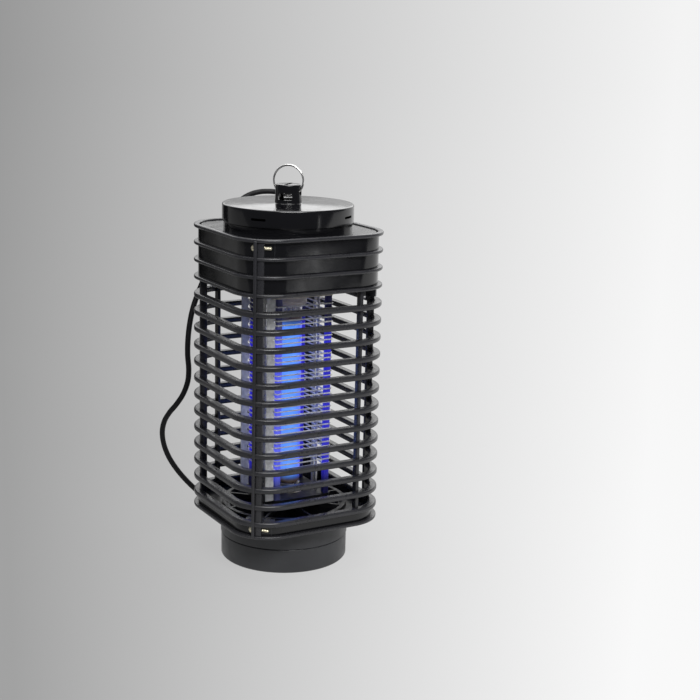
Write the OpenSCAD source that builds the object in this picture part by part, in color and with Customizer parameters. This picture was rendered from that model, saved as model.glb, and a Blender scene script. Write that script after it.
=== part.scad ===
// Lantern-type electric bug zapper with a twist-off catch tray and a mains lead.
// Millimetres, +Z up, -Y is the front. The origin is the centre of the underside,
// so the zapper stands on the plane z = 0.

/* [Cage] */
// Half the width of the cage over its rings
ring_half = 55.5; // [54:0.5:58]
// Radius of the cage's upright corners, outside
ring_corner = 28; // [26:1:30]
// Height of the cage's lower edge above the ground
foot_z = 32; // [32:0.5:34]
// Height from one ring to the next
ring_pitch = 12; // [11.8:0.1:12.2]
// Height of one open ring
ring_height = 3.8; // [3:0.2:4.4]
// Depth of an open ring, from its outer edge inwards
ring_depth = 6; // [5:0.5:7]
// Height of the thin fins round the solid top
fin_height = 2.4; // [2:0.2:3]
// Thickness of the solid walls
wall = 2.4; // [2:0.2:3]
// How far the walls stand in from the rings' outer edge
wall_inset = 3; // [2.6:0.2:3.4]

/* [Cap and hanging ring] */
// Outer radius of the round cap
cap_r = 45.2; // [44.5:0.1:46]
// Height of the cap's side
cap_side = 12; // [11:0.5:13]
// Outer radius of the hanging boss at its top
boss_r = 8.7; // [8.5:0.1:9]
// Height of the hanging boss
boss_h = 13; // [13:0.5:14]
// Radius of the hanging ring, to the centre of its wire
hang_r = 10.5; // [10.4:0.1:11]
// Diameter of the hanging ring's wire
hang_wire = 1.4; // [1.2:0.1:1.6]

/* [Lamp and grid] */
// Length of the ultraviolet tube without its pins
tube_len = 136; // [134:1:136]
// Diameter of the ultraviolet tube
tube_d = 16; // [15.5:0.5:16]
// How far the lamp and grid stand to the right of the cage's centre
lamp_x = 3; // [2:0.5:3.5]
// Half the distance between the grid's corner posts
post_half = 19.2; // [18.8:0.1:19.6]
// Height from one grid wire to the next
wire_pitch = 3.2; // [3:0.1:3.2]
// Number of grid wires of each polarity
wire_pairs = 19; // [17:1:19]
// Diameter of a grid wire
wire_d = 1; // [0.8:0.1:1.2]

/* [Tray] */
// Outer radius of the catch tray
tray_r = 44.8; // [44.4:0.1:45]
// Height of the catch tray
tray_h = 17; // [16:0.5:17.2]
// Thickness of the tray's wall
tray_wall = 2; // [1.8:0.1:2.2]

/* [Mains lead] */
// Diameter of the mains lead
cord_d = 4; // [3.8:0.1:4.2]
// Radius of the coil at the middle of its turns
coil_r = 22; // [21:0.5:23]
// Diameter of the plug's two pins
pin_d = 4; // [4:0.1:4.8]
// Distance between the plug's two pins
pin_gap = 19; // [18.6:0.1:19]

/* [Hidden] */
$fn = 64;

open_rings = 13;
fins = 3;
corner_at = ring_half - ring_corner;
wall_half = ring_half - wall_inset;
wall_corner = ring_corner - wall_inset;
inner_half = wall_half - wall;
inner_corner = wall_corner - wall;
cut = 0.5;

// Height of the upper face of ring n, counted up from the cage's lower edge.
function level(n) = foot_z + ring_pitch * n;
plate_z = level(open_rings + fins + 1);
plate_t = 2.6;
lip_depth = 4;
ledge_z = level(open_rings + 1) - fin_height;

// Cap, neck and boss
neck_r = cap_r - 1;
hole_r = 43;
neck_h = 4;
cap_z = plate_z + neck_h;
cap_top = cap_z + cap_side;
cap_wall = 2;
boss_top = cap_top + boss_h;
boss_wall = 1.6;
boss_in = boss_r - boss_wall;
hinge_z = boss_top - 4.6;
hang_rise = sqrt(hang_r * hang_r - pow(boss_r - boss_wall / 2, 2));
eye_r = 2.7;

// Upright ribs of the cage: their distance from the middle of a face, depth and thickness
rib_at = 29.5;
rib_depth = 5;
rib_t = 2.4;

// Screws through the two flanges of the cage
flange_thin = 2.2;
flange_thick = 4.4;
flange_low = foot_z + 0.8;
screw_at = 63.6;
pad_from = 55;
screw_zs = [foot_z + 6, plate_z - 6];

// Housing floor, board and what stands on it
floor_t = 2.4;
floor_top = ledge_z + floor_t;
tab_at = 38;
board_z = floor_top + 6;
board_t = 1.6;
board_x = 31;
board_y = 24;

// Lamp and grid, from the sockets inwards
lamp_top = 181.5;
lamp_low = lamp_top - tube_len;
cap_len = 7;
socket_r = 11.3;
frame_z = 186;
post_low = 47;
post_size = 4;
wire_half = post_half + post_size / 2 + wire_d / 2;
wire_z = 66;
strip_w = 6;
strip_t = 1;
strip_y = 19.7;

// Leads: plan positions of those to the strips and of those to the lower lamp socket
strip_top = 190;
lead_low = 37.8;
bus_leads = [[-21.2, strip_y], [-21.2, -strip_y]];
lamp_leads = [[27, 8], [27, -8]];

// Pan and tray
collar_low = tray_h + 0.6;
pan_z = foot_z + 2;
pan_t = 2.2;
skirt_r = 40.8;
lug_z = 10;
lug_sweep = 24;
lug_r = 42.2;

// Spider over the pan's hole
spider_z = pan_z + pan_t;
hub_h = post_low - 6 - spider_z;
rim_h = 3.4;

// Mains lead: where it leaves the cap, and the route that it takes to the coil
exit_turn = 55;
exit_z = cap_z + cap_side / 2;
relief_len = 20;
relief_tip = cap_r + relief_len;
coil_x = 35;
coil_y = 67;
coil_turns_high = 3;
cord_route = [
    [37.4, 53.4, 246], [39.8, 57.8, 246.2], [40.9, 62.8, 246.6], [40.7, 68, 247.3],
    [39.2, 73, 248], [36.4, 77.4, 248.8], [32.6, 81, 249.3], [27.8, 83.7, 249.6],
    [22, 85.4, 249.4], [15.6, 86.6, 248.2], [9, 87.6, 245.2],
    [2, 88, 240], [-4, 87, 232], [-9, 85.4, 223], [-14, 83.6, 213], [-19.5, 81.6, 202],
    [-26, 79.4, 190.5], [-32.5, 77.2, 179], [-37.6, 75.4, 168], [-41, 73.8, 156.5],
    [-43, 72.4, 145], [-43.6, 71.6, 134], [-42.9, 71.3, 123.6], [-43.2, 72.6, 113.6],
    [-45.4, 76, 103.6], [-48.6, 81, 95], [-51.6, 87, 87.6], [-53.2, 93, 79.6],
    [-52.8, 98.4, 70], [-50, 102.6, 59], [-45, 105.6, 47.6], [-38, 107.6, 36.4],
    [-29.6, 108.4, 25.6], [-20.4, 107.6, 15.6], [-11.6, 104.6, 7.6], [-4, 99.6, 3.2],
    [2.6, 93, 2], [7.6, 85, 2], [10.2, 76, 2], [11, 67, 2]
];
plug_x = 72;
plug_route = [
    [35, 43, 10], [41, 43, 9.8], [48, 43, 8.6], [55, 43, 7.2],
    [61.5, 44.3, 6.4], [67, 48, 6.4], [70.7, 53.5, 6.8], [72, 60, 7]
];
sleeve_y = 60;
sleeve_len = 10;
body_y = sleeve_y + sleeve_len;
body_len = 32;
body_z = 7;
pin_len = 19;

// ---------- helpers ----------

// Square with round corners, centred, drawn flat.
module rounded_square(half, corner) {
    square([2 * half, 2 * (half - corner)], center = true);
    square([2 * (half - corner), 2 * half], center = true);
    for (sx = [-1, 1], sy = [-1, 1])
        translate([sx * (half - corner), sy * (half - corner)]) circle(corner, $fn = 96);
}

// Carries an upright profile along one straight side; quarter 0 faces +X.
module side_run(quarter) {
    rotate([0, 0, 90 * quarter]) translate([corner_at, 0, 0]) rotate([90, 0, 0])
        linear_extrude(2 * corner_at, center = true) children();
}

// Carries the same profile round one corner, or part of it.
module corner_run(quarter, start, sweep) {
    rotate([0, 0, 90 * quarter]) translate([corner_at, corner_at, 0]) rotate([0, 0, start])
        rotate_extrude(angle = sweep, $fn = 96) children();
}

// Carries a profile round the L of one cage half, from the near split to the far one.
module half_run() {
    corner_run(2, 90, -45) children();
    side_run(3) children();
    corner_run(3, 0, 90) children();
    side_run(0) children();
    corner_run(0, 0, 45) children();
}

// Section of a ring or fin with its outer edges eased; x is measured from the corner's centre.
module band_profile(depth, height, ease) {
    polygon([
        [ring_corner - depth, 0], [ring_corner - ease, 0], [ring_corner, ease],
        [ring_corner, height - ease], [ring_corner - ease, height], [ring_corner - depth, height]
    ]);
}

// The half of the plan on the front and right of the split.
module half_plan() {
    polygon([[-90, -90], [90, -90], [90, 90]]);
}

// Cylinder that lies across the split, at radius r and height z, from a to b past the split.
module across_split(turn, r, z, a, b, radius) {
    rotate([0, 0, turn]) translate([r, a, z]) rotate([-90, 0, 0])
        cylinder(h = b - a, r = radius, $fn = 32);
}

// Tube of radius r swept along a list of points, with flat ends.
function unit(v) = v / norm(v);
function heading(p, i) =
    unit(i == 0 ? p[1] - p[0] : i == len(p) - 1 ? p[i] - p[i - 1] : p[i + 1] - p[i - 1]);
// Direction across the tube at point i, carried along from the first point without twisting.
function across(p, i) =
    i == 0
        ? unit(cross(heading(p, 0), [0, 0, 1]))
        : let (u = across(p, i - 1), t = heading(p, i)) unit(u - (u * t) * t);
module swept_tube(p, r, sides) {
    n = len(p);
    rings = [
        for (i = [0 : n - 1])
            let (u = across(p, i), w = cross(heading(p, i), u))
                for (k = [0 : sides - 1])
                    p[i] + r * (cos(360 * k / sides) * u + sin(360 * k / sides) * w)
    ];
    walls = [
        for (i = [0 : n - 2]) for (k = [0 : sides - 1])
            let (a = i * sides + k, b = i * sides + (k + 1) % sides)
                each [[a, b, b + sides], [a, b + sides, a + sides]]
    ];
    first = [for (k = [sides - 1 : -1 : 0]) k];
    last = [for (k = [0 : sides - 1]) (n - 1) * sides + k];
    polyhedron(rings, concat([first], walls, [last]));
}

// ---------- cage ----------

// Upright section of a cage half: the solid top with its fins, the open rings and the solid foot.
module cage_profile() {
    for (n = [1 : open_rings])
        translate([0, level(n) - ring_height]) band_profile(ring_depth, ring_height, 1.2);
    for (n = [open_rings + 1 : open_rings + fins])
        translate([0, level(n) - fin_height]) band_profile(wall_inset + wall, fin_height, 0.8);
    translate([0, plate_z - plate_t]) band_profile(lip_depth, plate_t, 0.9);
    translate([0, foot_z]) band_profile(ring_depth + 2, pan_z - foot_z, 0.6);
    translate([inner_corner, ledge_z]) square([wall, plate_z - ledge_z - 1]);
    translate([inner_corner, foot_z + 1]) square([wall, level(1) - foot_z - 2]);
}

// One moulded half of the cage. Both halves are the same part, turned half way round.
module cage_half() {
    difference() {
        union() {
            half_run() cage_profile();
            top_plate();
            corner_ribs();
            floor_tab();
            split_pads();
            cap_stops();
            thick_flange(225);
            thin_flange(45);
        }
        for (z = screw_zs) {
            across_split(225, screw_at, z, -cut, flange_thick + cut, 1.3);
            across_split(225, screw_at, z, flange_thick, flange_thick + 6.2, 1.9);
            across_split(45, screw_at, z, -flange_thin - cut, cut, 1.6);
            across_split(45, screw_at, z, -flange_thin - 4.6, -flange_thin, 2.9);
        }
    }
}

// Half of the top plate, with a raised lip round its edge and the round hole for the cap.
module top_plate() {
    translate([0, 0, plate_z - plate_t]) linear_extrude(plate_t - 1) difference() {
        intersection() {
            rounded_square(wall_half, wall_corner);
            half_plan();
        }
        circle(hole_r, $fn = 128);
    }
}

// Two low steps on the plate that the cap's neck stops against.
module cap_stops() {
    ring_piece(neck_r + 0.4, neck_r + 3.3, plate_z - 1.2, 1.8, 231.2, 11.5);
    ring_piece(neck_r + 0.4, neck_r + 2, plate_z - 1.2, 1.1, 247.5, 19);
}

// Upright ribs that carry the open rings, one each side of the round corner.
module corner_ribs() {
    rib_from = wall_half - rib_depth;
    rib_low = level(1) - 1;
    for (side = [0, 1])
        rotate([0, 0, -90 * side])
            translate([rib_from, (side == 0 ? -1 : 1) * rib_at - rib_t / 2, rib_low])
                cube([rib_depth, rib_t, ledge_z - rib_low]);
}

// Tab inside the round corner that the housing floor is screwed to from below.
module floor_tab() {
    inner_edge = corner_at * sqrt(2) + inner_corner + 0.1;
    difference() {
        union() {
            translate([tab_at, -tab_at, ledge_z - 6]) cylinder(h = 6, r = 3.4);
            rotate([0, 0, -45]) translate([tab_at * sqrt(2), -1.5, ledge_z - 6]) cube([9.8, 3, 6]);
            rotate([0, 0, -45]) translate([inner_edge, -1.5, ledge_z - 1]) cube([1.9, 3, 3]);
        }
        translate([tab_at, -tab_at, ledge_z - 6 - cut]) cylinder(h = 6 + 2 * cut, r = 1.2);
    }
}

// Solid pads behind the four screws, where the outside of the wall is let in for them.
module split_pads() {
    for (z = [flange_low, plate_z - 12.4]) {
        rotate([0, 0, 225]) translate([pad_from, 0, z]) cube([6.6, 11, 11]);
        rotate([0, 0, 45]) translate([pad_from, -9, z]) cube([5.6, 9, 11]);
    }
}

module thick_flange(turn) {
    rotate([0, 0, turn]) translate([58, 0, flange_low])
        cube([7.6, flange_thick, plate_z - flange_low - plate_t]);
}

module thin_flange(turn) {
    rotate([0, 0, turn]) translate([58, -flange_thin, flange_low])
        cube([9.2, flange_thin, plate_z - flange_low - plate_t / 2]);
}

module cage_half_right() {
    color("#26262a") cage_half();
}

module cage_half_left() {
    color("#26262a") rotate([0, 0, 180]) cage_half();
}

// Four self-tapping screws that draw the halves together: brass-plated head, thread end proud.
module cage_screws() {
    color("goldenrod") for (turn = [45, 225], z = screw_zs) {
        across_split(turn, screw_at, z, -flange_thin - 2.2, -flange_thin, 2.5);
        across_split(turn, screw_at, z, -flange_thin, flange_thick + 4.9, 1.25);
    }
}

// ---------- cap ----------

// Round cap with its neck and boss. The neck is gripped between the plate halves.
module top_cap() {
    color("#2b2b30") difference() {
        union() {
            translate([0, 0, cap_z]) cylinder(h = cap_side, r = cap_r, $fn = 128);
            translate([0, 0, plate_z - 1]) cylinder(h = neck_h + 1, r = neck_r, $fn = 128);
            translate([0, 0, plate_z - plate_t - 0.2])
                cylinder(h = plate_t, r = hole_r - 0.1, $fn = 128);
            translate([0, 0, plate_z - plate_t - 2]) cylinder(h = 1.9, r = neck_r, $fn = 128);
            translate([0, 0, cap_top]) cylinder(h = boss_h, r1 = boss_r + 0.5, r2 = boss_r);
        }
        translate([0, 0, plate_z - plate_t - 3])
            cylinder(h = cap_top - plate_z + plate_t + 0.8, r = hole_r - cap_wall, $fn = 128);
        translate([0, 0, cap_top + 1.4]) cylinder(h = boss_h - 3.2, r = boss_in);
        boss_openings();
        side_vents();
        rotate([0, 0, exit_turn]) translate([cap_r - 6, 0, exit_z]) rotate([0, 90, 0])
            cylinder(h = 8, r = 3.2);
    }
}

// Eyes for the hanging ring, windows in front and behind, and the slot across the top.
module boss_openings() {
    rotate([0, 0, 135]) translate([-12, 0, hinge_z]) rotate([0, 90, 0])
        cylinder(h = 24, r = eye_r);
    rotate([0, 0, 45]) translate([-12, -5, cap_top + 2.6]) cube([24, 10, 4.9]);
    rotate([0, 0, 45]) translate([-7, -1.1, boss_top - 3]) cube([14, 2.2, 4]);
}

module side_vents() {
    for (turn = [-53.5 : 90 : 216.5])
        rotate([0, 0, turn - 90]) translate([cap_r - 6, -5.4, cap_z + 5.4]) cube([8, 10.8, 1.6]);
}

// Rubber strain relief: flange inside the cap, neck in its wall, tapered sleeve outside.
module cord_grommet() {
    color("#161618") rotate([0, 0, exit_turn]) translate([0, 0, exit_z]) rotate([0, 90, 0])
        difference() {
            union() {
                translate([0, 0, 38]) cylinder(h = 2.5, r = 3.8);
                translate([0, 0, 40]) cylinder(h = cap_r - 39, r = 3.1);
                translate([0, 0, cap_r]) cylinder(h = relief_len, r1 = 4, r2 = 2.7);
            }
            translate([0, 0, 37]) cylinder(h = relief_tip - 37 + cut, r = cord_d / 2);
        }
}

// Wire ring whose lower arc hangs in the hollow boss; it swings about the line of the eyes.
module hanging_ring() {
    color("silver") rotate([0, 0, 135]) translate([0, 0, hinge_z + hang_rise]) rotate([90, 0, 0])
        rotate_extrude($fn = 96) translate([hang_r, 0]) circle(hang_wire / 2, $fn = 24);
}

// ---------- electronics housing ----------

// Takes a plate's corners back from the flanges and pads at the split.
module split_notches() {
    for (turn = [45, 225])
        rotate([0, 0, turn]) translate([pad_from - 0.4, -12, 0]) square([12, 24]);
}

// Floor that shuts the electronics off from the grid, with standoffs for the board.
module housing_floor() {
    color("#303036") difference() {
        union() {
            translate([0, 0, ledge_z]) linear_extrude(floor_t) difference() {
                rounded_square(inner_half - 0.2, inner_corner - 0.2);
                translate([lamp_x, 0]) circle(6);
                split_notches();
            }
            for (sx = [-1, 1], sy = [-1, 1])
                translate([sx * (board_x - 4), sy * (board_y - 4), floor_top])
                    cylinder(h = board_z - floor_top, r = 3);
        }
        for (sx = [-1, 1], sy = [-1, 1])
            translate([sx * (board_x - 4), sy * (board_y - 4), ledge_z + 0.6])
                cylinder(h = 12, r = 1);
        for (s = [-1, 1])
            translate([s * tab_at, -s * tab_at, ledge_z - cut]) cylinder(h = floor_t + 1, r = 1.2);
        floor_holes();
    }
}

// Holes for the grid's leads and the bottom lamp socket's leads.
module floor_holes() {
    for (p = concat(bus_leads, lamp_leads))
        translate([p[0], p[1], ledge_z - cut]) cylinder(h = floor_t + 1, r = 1.4);
}

module floor_screws() {
    color("silver") for (s = [-1, 1]) translate([s * tab_at, -s * tab_at, ledge_z - 7.6]) {
        cylinder(h = 1.6, r = 2.4);
        cylinder(h = 7.6 + floor_t, r = 1.2);
    }
}

module circuit_board() {
    color("#2f6b3c") difference() {
        translate([-board_x, -board_y, board_z]) cube([2 * board_x, 2 * board_y, board_t]);
        for (sx = [-1, 1], sy = [-1, 1])
            translate([sx * (board_x - 4), sy * (board_y - 4), board_z - cut])
                cylinder(h = board_t + 1, r = 1.5);
    }
}

module board_screws() {
    color("silver") for (sx = [-1, 1], sy = [-1, 1])
        translate([sx * (board_x - 4), sy * (board_y - 4), board_z - 5]) {
            cylinder(h = 5 + board_t, r = 1);
            translate([0, 0, 5 + board_t]) cylinder(h = 1.6, r = 2.2);
        }
}

// Film capacitors of the voltage multiplier and the ballast's round ones.
module capacitors() {
    color("firebrick") for (n = [0 : 3])
        translate([-26 + 9 * n, 4, board_z + board_t]) cube([6.4, 12, 9]);
    color("navy") for (n = [0 : 1])
        translate([16 + 9 * n, -5.5, board_z + board_t]) cylinder(h = 14, r = 4);
}

module diodes() {
    color("dimgray") for (n = [0 : 3])
        translate([-25.2 + 9 * n, -2.2, board_z + board_t + 1.4]) rotate([0, 90, 0])
            cylinder(h = 5, r = 1.3, $fn = 24);
}

module choke_core() {
    color("#4a4038") difference() {
        translate([-22, -20, board_z + board_t]) cube([20, 14, 16]);
        translate([-18, -21, board_z + board_t + 3]) cube([12, 16, 10]);
    }
}

module choke_winding() {
    color("peru") translate([-17.8, -19, board_z + board_t + 3.2]) cube([11.6, 12, 9.6]);
}

module terminal_block() {
    color("ivory") difference() {
        translate([0, -21, board_z + board_t]) cube([21, 8, 10]);
        for (n = [0 : 2])
            translate([3.5 + 7 * n, -17, board_z + board_t + 4]) cylinder(h = 8, r = 1.8);
    }
}

// Insulated leads from the board down to the grid's strips and the lower lamp socket.
module lead_wires() {
    color("crimson") for (p = bus_leads)
        translate([p[0], p[1], strip_top]) cylinder(h = board_z - strip_top, r = 1, $fn = 24);
    color("white") for (p = lamp_leads) {
        translate([p[0], p[1], lead_low]) cylinder(h = board_z - lead_low, r = 1, $fn = 24);
        translate([16.2, p[1], lead_low + 1]) rotate([0, 90, 0])
            cylinder(h = p[0] - 16.2, r = 0.9, $fn = 24);
    }
}

// ---------- lamp and grid ----------

// Square insulating frame with a socket for each post; both ends of the grid use it.
module grid_frame(z, height, socket_z) {
    difference() {
        translate([lamp_x, 0, z]) linear_extrude(height) difference() {
            rounded_square(post_half + 3.6, 4);
            circle(socket_r + 0.1);
        }
        for (sx = [-1, 1], sy = [-1, 1])
            translate([lamp_x + sx * post_half - 2.1, sy * post_half - 2.1, socket_z])
                cube([4.2, 4.2, 4]);
        for (s = [-1, 1])
            translate([lamp_x + s * 15.6, -s * 12, z - cut]) cylinder(h = height + 1, r = 1);
    }
}

module grid_top_frame() {
    color("#d8d4c8") grid_frame(frame_z + 4, ledge_z - frame_z - 4, frame_z + 3);
}

module grid_bottom_frame() {
    color("#3a3a40") grid_frame(post_low - 6, 6, post_low - 3);
}

module lamp_socket(low, high, pin_low) {
    translate([lamp_x, 0, 0]) difference() {
        translate([0, 0, low]) cylinder(h = high - low, r = socket_r);
        for (s = [-1, 1]) translate([0, s * 2.375, pin_low]) cylinder(h = 7.4, r = 1.25);
    }
}

module lamp_socket_top() {
    color("ivory") lamp_socket(lamp_top, ledge_z, lamp_top - 0.2);
}

module lamp_socket_bottom() {
    color("ivory") lamp_socket(spider_z, lamp_low, lamp_low - 7.2);
}

module uv_tube() {
    color("#6aa8ff") translate([lamp_x, 0, lamp_low + cap_len])
        cylinder(h = tube_len - 2 * cap_len, r = tube_d / 2);
}

module tube_cap_top() {
    color("lightgray") translate([lamp_x, 0, lamp_top - cap_len]) cylinder(h = cap_len, r = tube_d / 2);
}

module tube_cap_bottom() {
    color("lightgray") translate([lamp_x, 0, lamp_low]) cylinder(h = cap_len, r = tube_d / 2);
}

module tube_pins() {
    color("silver") for (s = [-1, 1], z = [lamp_top, lamp_low - 7])
        translate([lamp_x, s * 2.375, z]) cylinder(h = 7, r = 1.2, $fn = 24);
}

module grid_post(sx, sy) {
    color("#23233a")
        translate([lamp_x + sx * post_half - post_size / 2, sy * post_half - post_size / 2, post_low - 3])
            cube([post_size, post_size, frame_z + 10 - post_low]);
}

module post_near() { grid_post(-1, -1); }

module post_right() { grid_post(1, -1); }

module post_far() { grid_post(1, 1); }

module post_left() { grid_post(-1, 1); }

// Steel rods that tie the two grid frames together.
module tie_rods() {
    color("silver") for (s = [-1, 1])
        translate([lamp_x + s * 15.6, -s * 12, post_low - 6]) cylinder(h = ledge_z - post_low + 6, r = 0.95);
}

// One closed loop of grid wire round the four posts.
module wire_loop(z) {
    bend = 1.5;
    run = wire_half - bend;
    translate([lamp_x, 0, z]) for (q = [0 : 3]) rotate([0, 0, 90 * q]) {
        translate([wire_half, -run, 0]) rotate([-90, 0, 0])
            cylinder(h = 2 * run, r = wire_d / 2, $fn = 16);
        translate([run, run, 0]) rotate_extrude(angle = 90, $fn = 32)
            translate([bend, 0]) circle(wire_d / 2, $fn = 16);
    }
}

module live_wires() {
    color("lightsteelblue") for (n = [0 : wire_pairs - 1]) wire_loop(wire_z + 2 * wire_pitch * n);
}

module neutral_wires() {
    color("lightsteelblue") for (n = [0 : wire_pairs - 1]) wire_loop(wire_z + wire_pitch * (2 * n + 1));
}

// Galvanised strip that joins one set of wires; it is notched clear of the other set.
module bus_strip(y, first_clear) {
    edge = lamp_x - wire_half - wire_d / 2;
    difference() {
        translate([edge - strip_w, y - strip_t / 2, post_low]) cube([strip_w, strip_t, strip_top - post_low]);
        for (n = [0 : wire_pairs - 1])
            translate([edge - 1.2, y - 1, wire_z + wire_pitch * (2 * n + first_clear) - 1])
                cube([2, 2, 2]);
    }
}

module live_bus() {
    color("gainsboro") bus_strip(strip_y, 1);
}

module neutral_bus() {
    color("gainsboro") bus_strip(-strip_y, 0);
}

// ---------- pan and tray ----------

// Ribbed spider over the pan's hole: it carries the lower socket and the grid.
module spider_frame() {
    color("#2b2b30") difference() {
        union() {
            translate([lamp_x, 0, spider_z]) cylinder(h = hub_h, r = socket_r + 3.7);
            for (turn = [0 : 45 : 315])
                rotate([0, 0, turn]) translate([9, -0.9, spider_z]) cube([35, 1.8, rim_h]);
            tube_wall(44.4, 41.6, spider_z, spider_z + rim_h);
        }
        translate([lamp_x, 0, spider_z - cut]) cylinder(h = hub_h + 1, r = socket_r + 0.1);
    }
}

// Pan gripped in the cage's foot, with the collar and skirt that the tray locks to.
module bottom_pan() {
    color("#3a3a40") {
        translate([0, 0, pan_z]) linear_extrude(pan_t) difference() {
            rounded_square(inner_half - 0.2, inner_corner - 0.2);
            circle(skirt_r - 2, $fn = 128);
            split_notches();
        }
        tube_wall(cap_r, cap_r - 2, collar_low, pan_z);
        tube_wall(skirt_r, skirt_r - 2, lug_z - 1, pan_z);
        for (turn = [0, 120, 240]) {
            ring_piece(skirt_r - 1, lug_r, lug_z, 2, turn - 1.2, lug_sweep + 2.4);
            ring_piece(skirt_r - 1, lug_r, lug_z + 1, 3.6, turn - lug_sweep / 2 - 1.6, 1.6);
        }
    }
}

// Twist-off tray that the dead insects drop into.
module catch_tray() {
    color("#47474d") {
        difference() {
            union() {
                translate([0, 0, 1]) cylinder(h = tray_h - 1, r = tray_r, $fn = 128);
                cylinder(h = 1, r1 = tray_r - 1, r2 = tray_r, $fn = 128);
            }
            translate([0, 0, 2]) cylinder(h = tray_h, r = tray_r - tray_wall, $fn = 128);
        }
        for (turn = [0, 120, 240])
            ring_piece(lug_r - 0.9, tray_r - 1, lug_z + 3, 2, turn, lug_sweep);
    }
}

module tube_wall(outer, inner, low, high) {
    translate([0, 0, low]) linear_extrude(high - low) difference() {
        circle(outer, $fn = 128);
        circle(inner, $fn = 128);
    }
}

// Short length of ring, used for the bayonet lugs.
module ring_piece(inner, outer, z, height, turn, sweep) {
    rotate([0, 0, turn - sweep / 2]) rotate_extrude(angle = sweep, $fn = 128)
        translate([inner, z]) square([outer - inner, height]);
}

// ---------- mains lead ----------

module mains_cord() {
    color("#151517") swept_tube(cord_route, cord_d / 2, 8);
}

// The wound-up length of the lead, as the outer shape of its turns.
module cord_coil() {
    color("#1b1b1e") translate([coil_x, coil_y, 0]) rotate_extrude($fn = 96)
        translate([coil_r - cord_d, 0]) square([2 * cord_d, coil_turns_high * cord_d]);
}

module plug_lead() {
    color("#151517") swept_tube(plug_route, cord_d / 2, 8);
}

module plug_sleeve() {
    color("#1b1b1e") translate([plug_x, sleeve_y, body_z]) rotate([-90, 0, 0])
        cylinder(h = sleeve_len, r1 = 2.8, r2 = 5);
}

// Flat two-pin plug lying on its side, wider towards the pins.
module plug_body() {
    color("#1b1b1e") translate([plug_x, body_y, 0]) linear_extrude(2 * body_z - 0.2)
        polygon([
            [-6, 0], [6, 0], [12, 7], [16.6, 17], [17.6, 24], [17.6, body_len],
            [-17.6, body_len], [-17.6, 24], [-16.6, 17], [-12, 7]
        ]);
}

module plug_pins() {
    color("silver") for (s = [-1, 1])
        translate([plug_x + s * pin_gap / 2, body_y + body_len, body_z]) rotate([-90, 0, 0])
            cylinder(h = pin_len, r = pin_d / 2);
}

cage_half_left();
cage_half_right();
cage_screws();
top_cap();
cord_grommet();
hanging_ring();
housing_floor();
floor_screws();
circuit_board();
board_screws();
capacitors();
diodes();
choke_core();
choke_winding();
terminal_block();
lead_wires();
grid_top_frame();
lamp_socket_top();
uv_tube();
tube_cap_top();
tube_cap_bottom();
tube_pins();
lamp_socket_bottom();
grid_bottom_frame();
post_near();
post_right();
post_far();
post_left();
tie_rods();
live_wires();
neutral_wires();
live_bus();
neutral_bus();
spider_frame();
bottom_pan();
catch_tray();
mains_cord();
cord_coil();
plug_lead();
plug_sleeve();
plug_body();
plug_pins();
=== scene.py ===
# %% [markdown]
# # A lantern-type bug zapper, built round its frame
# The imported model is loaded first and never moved. It gives every position, so each piece below is
# made where the frame says, in metres, with +Z up and the zapper standing on the plane z = 0.
# %% Load the frame
import math
import bmesh
import bpy
from mathutils import Matrix, Vector


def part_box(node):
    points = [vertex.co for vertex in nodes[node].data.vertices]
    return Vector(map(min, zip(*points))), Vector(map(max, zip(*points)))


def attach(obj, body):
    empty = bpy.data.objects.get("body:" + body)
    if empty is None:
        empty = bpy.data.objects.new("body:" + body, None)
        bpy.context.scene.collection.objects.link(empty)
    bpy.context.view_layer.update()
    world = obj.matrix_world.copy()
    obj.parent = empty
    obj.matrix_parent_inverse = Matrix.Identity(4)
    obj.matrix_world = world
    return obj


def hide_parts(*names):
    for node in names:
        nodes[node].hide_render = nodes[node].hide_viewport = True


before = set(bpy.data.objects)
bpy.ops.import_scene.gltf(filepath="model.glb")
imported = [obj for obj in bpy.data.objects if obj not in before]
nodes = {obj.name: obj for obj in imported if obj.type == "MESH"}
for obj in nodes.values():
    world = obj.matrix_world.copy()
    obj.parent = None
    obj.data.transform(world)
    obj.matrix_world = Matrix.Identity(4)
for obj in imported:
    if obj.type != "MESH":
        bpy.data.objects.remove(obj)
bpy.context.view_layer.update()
MM = 0.001

# %% [markdown]
# ## Camera
# The zapper is seen over its near corner, from a little above. The camera's place, the three small turns
# after it faces the zapper's axis and its fairly long lens are plain values. A least-squares fit
# to measured edges of the cage gave them.
# %% Camera
CAMERA_PLACE = (-0.4438, -0.8465, 0.3699)
CAMERA_SIDE = math.radians(-27.667)
CAMERA_TURN = math.radians(2.676)
CAMERA_DIP = math.radians(12.979)
CAMERA_ROLL = math.radians(1.394)
UP = Vector((0, 0, 1))
AWAY = Vector((-math.sin(CAMERA_SIDE), math.cos(CAMERA_SIDE), 0))
RIGHT = Vector((math.cos(CAMERA_SIDE), math.sin(CAMERA_SIDE), 0))


def add_camera():
    ahead = AWAY * math.cos(CAMERA_TURN) + RIGHT * math.sin(CAMERA_TURN)
    side = RIGHT * math.cos(CAMERA_TURN) - AWAY * math.sin(CAMERA_TURN)
    axis = ahead * math.cos(CAMERA_DIP) - UP * math.sin(CAMERA_DIP)
    top = UP * math.cos(CAMERA_DIP) + ahead * math.sin(CAMERA_DIP)
    right = side * math.cos(CAMERA_ROLL) + top * math.sin(CAMERA_ROLL)
    top = top * math.cos(CAMERA_ROLL) - side * math.sin(CAMERA_ROLL)
    data = bpy.data.cameras.new("camera")
    data.lens = 71.97
    data.sensor_width = 36
    camera = bpy.data.objects.new("camera", data)
    bpy.context.scene.collection.objects.link(camera)
    turn = Matrix((right, top, -axis)).transposed().to_4x4()
    camera.matrix_world = Matrix.Translation(CAMERA_PLACE) @ turn
    bpy.context.scene.camera = camera
    return camera


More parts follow.
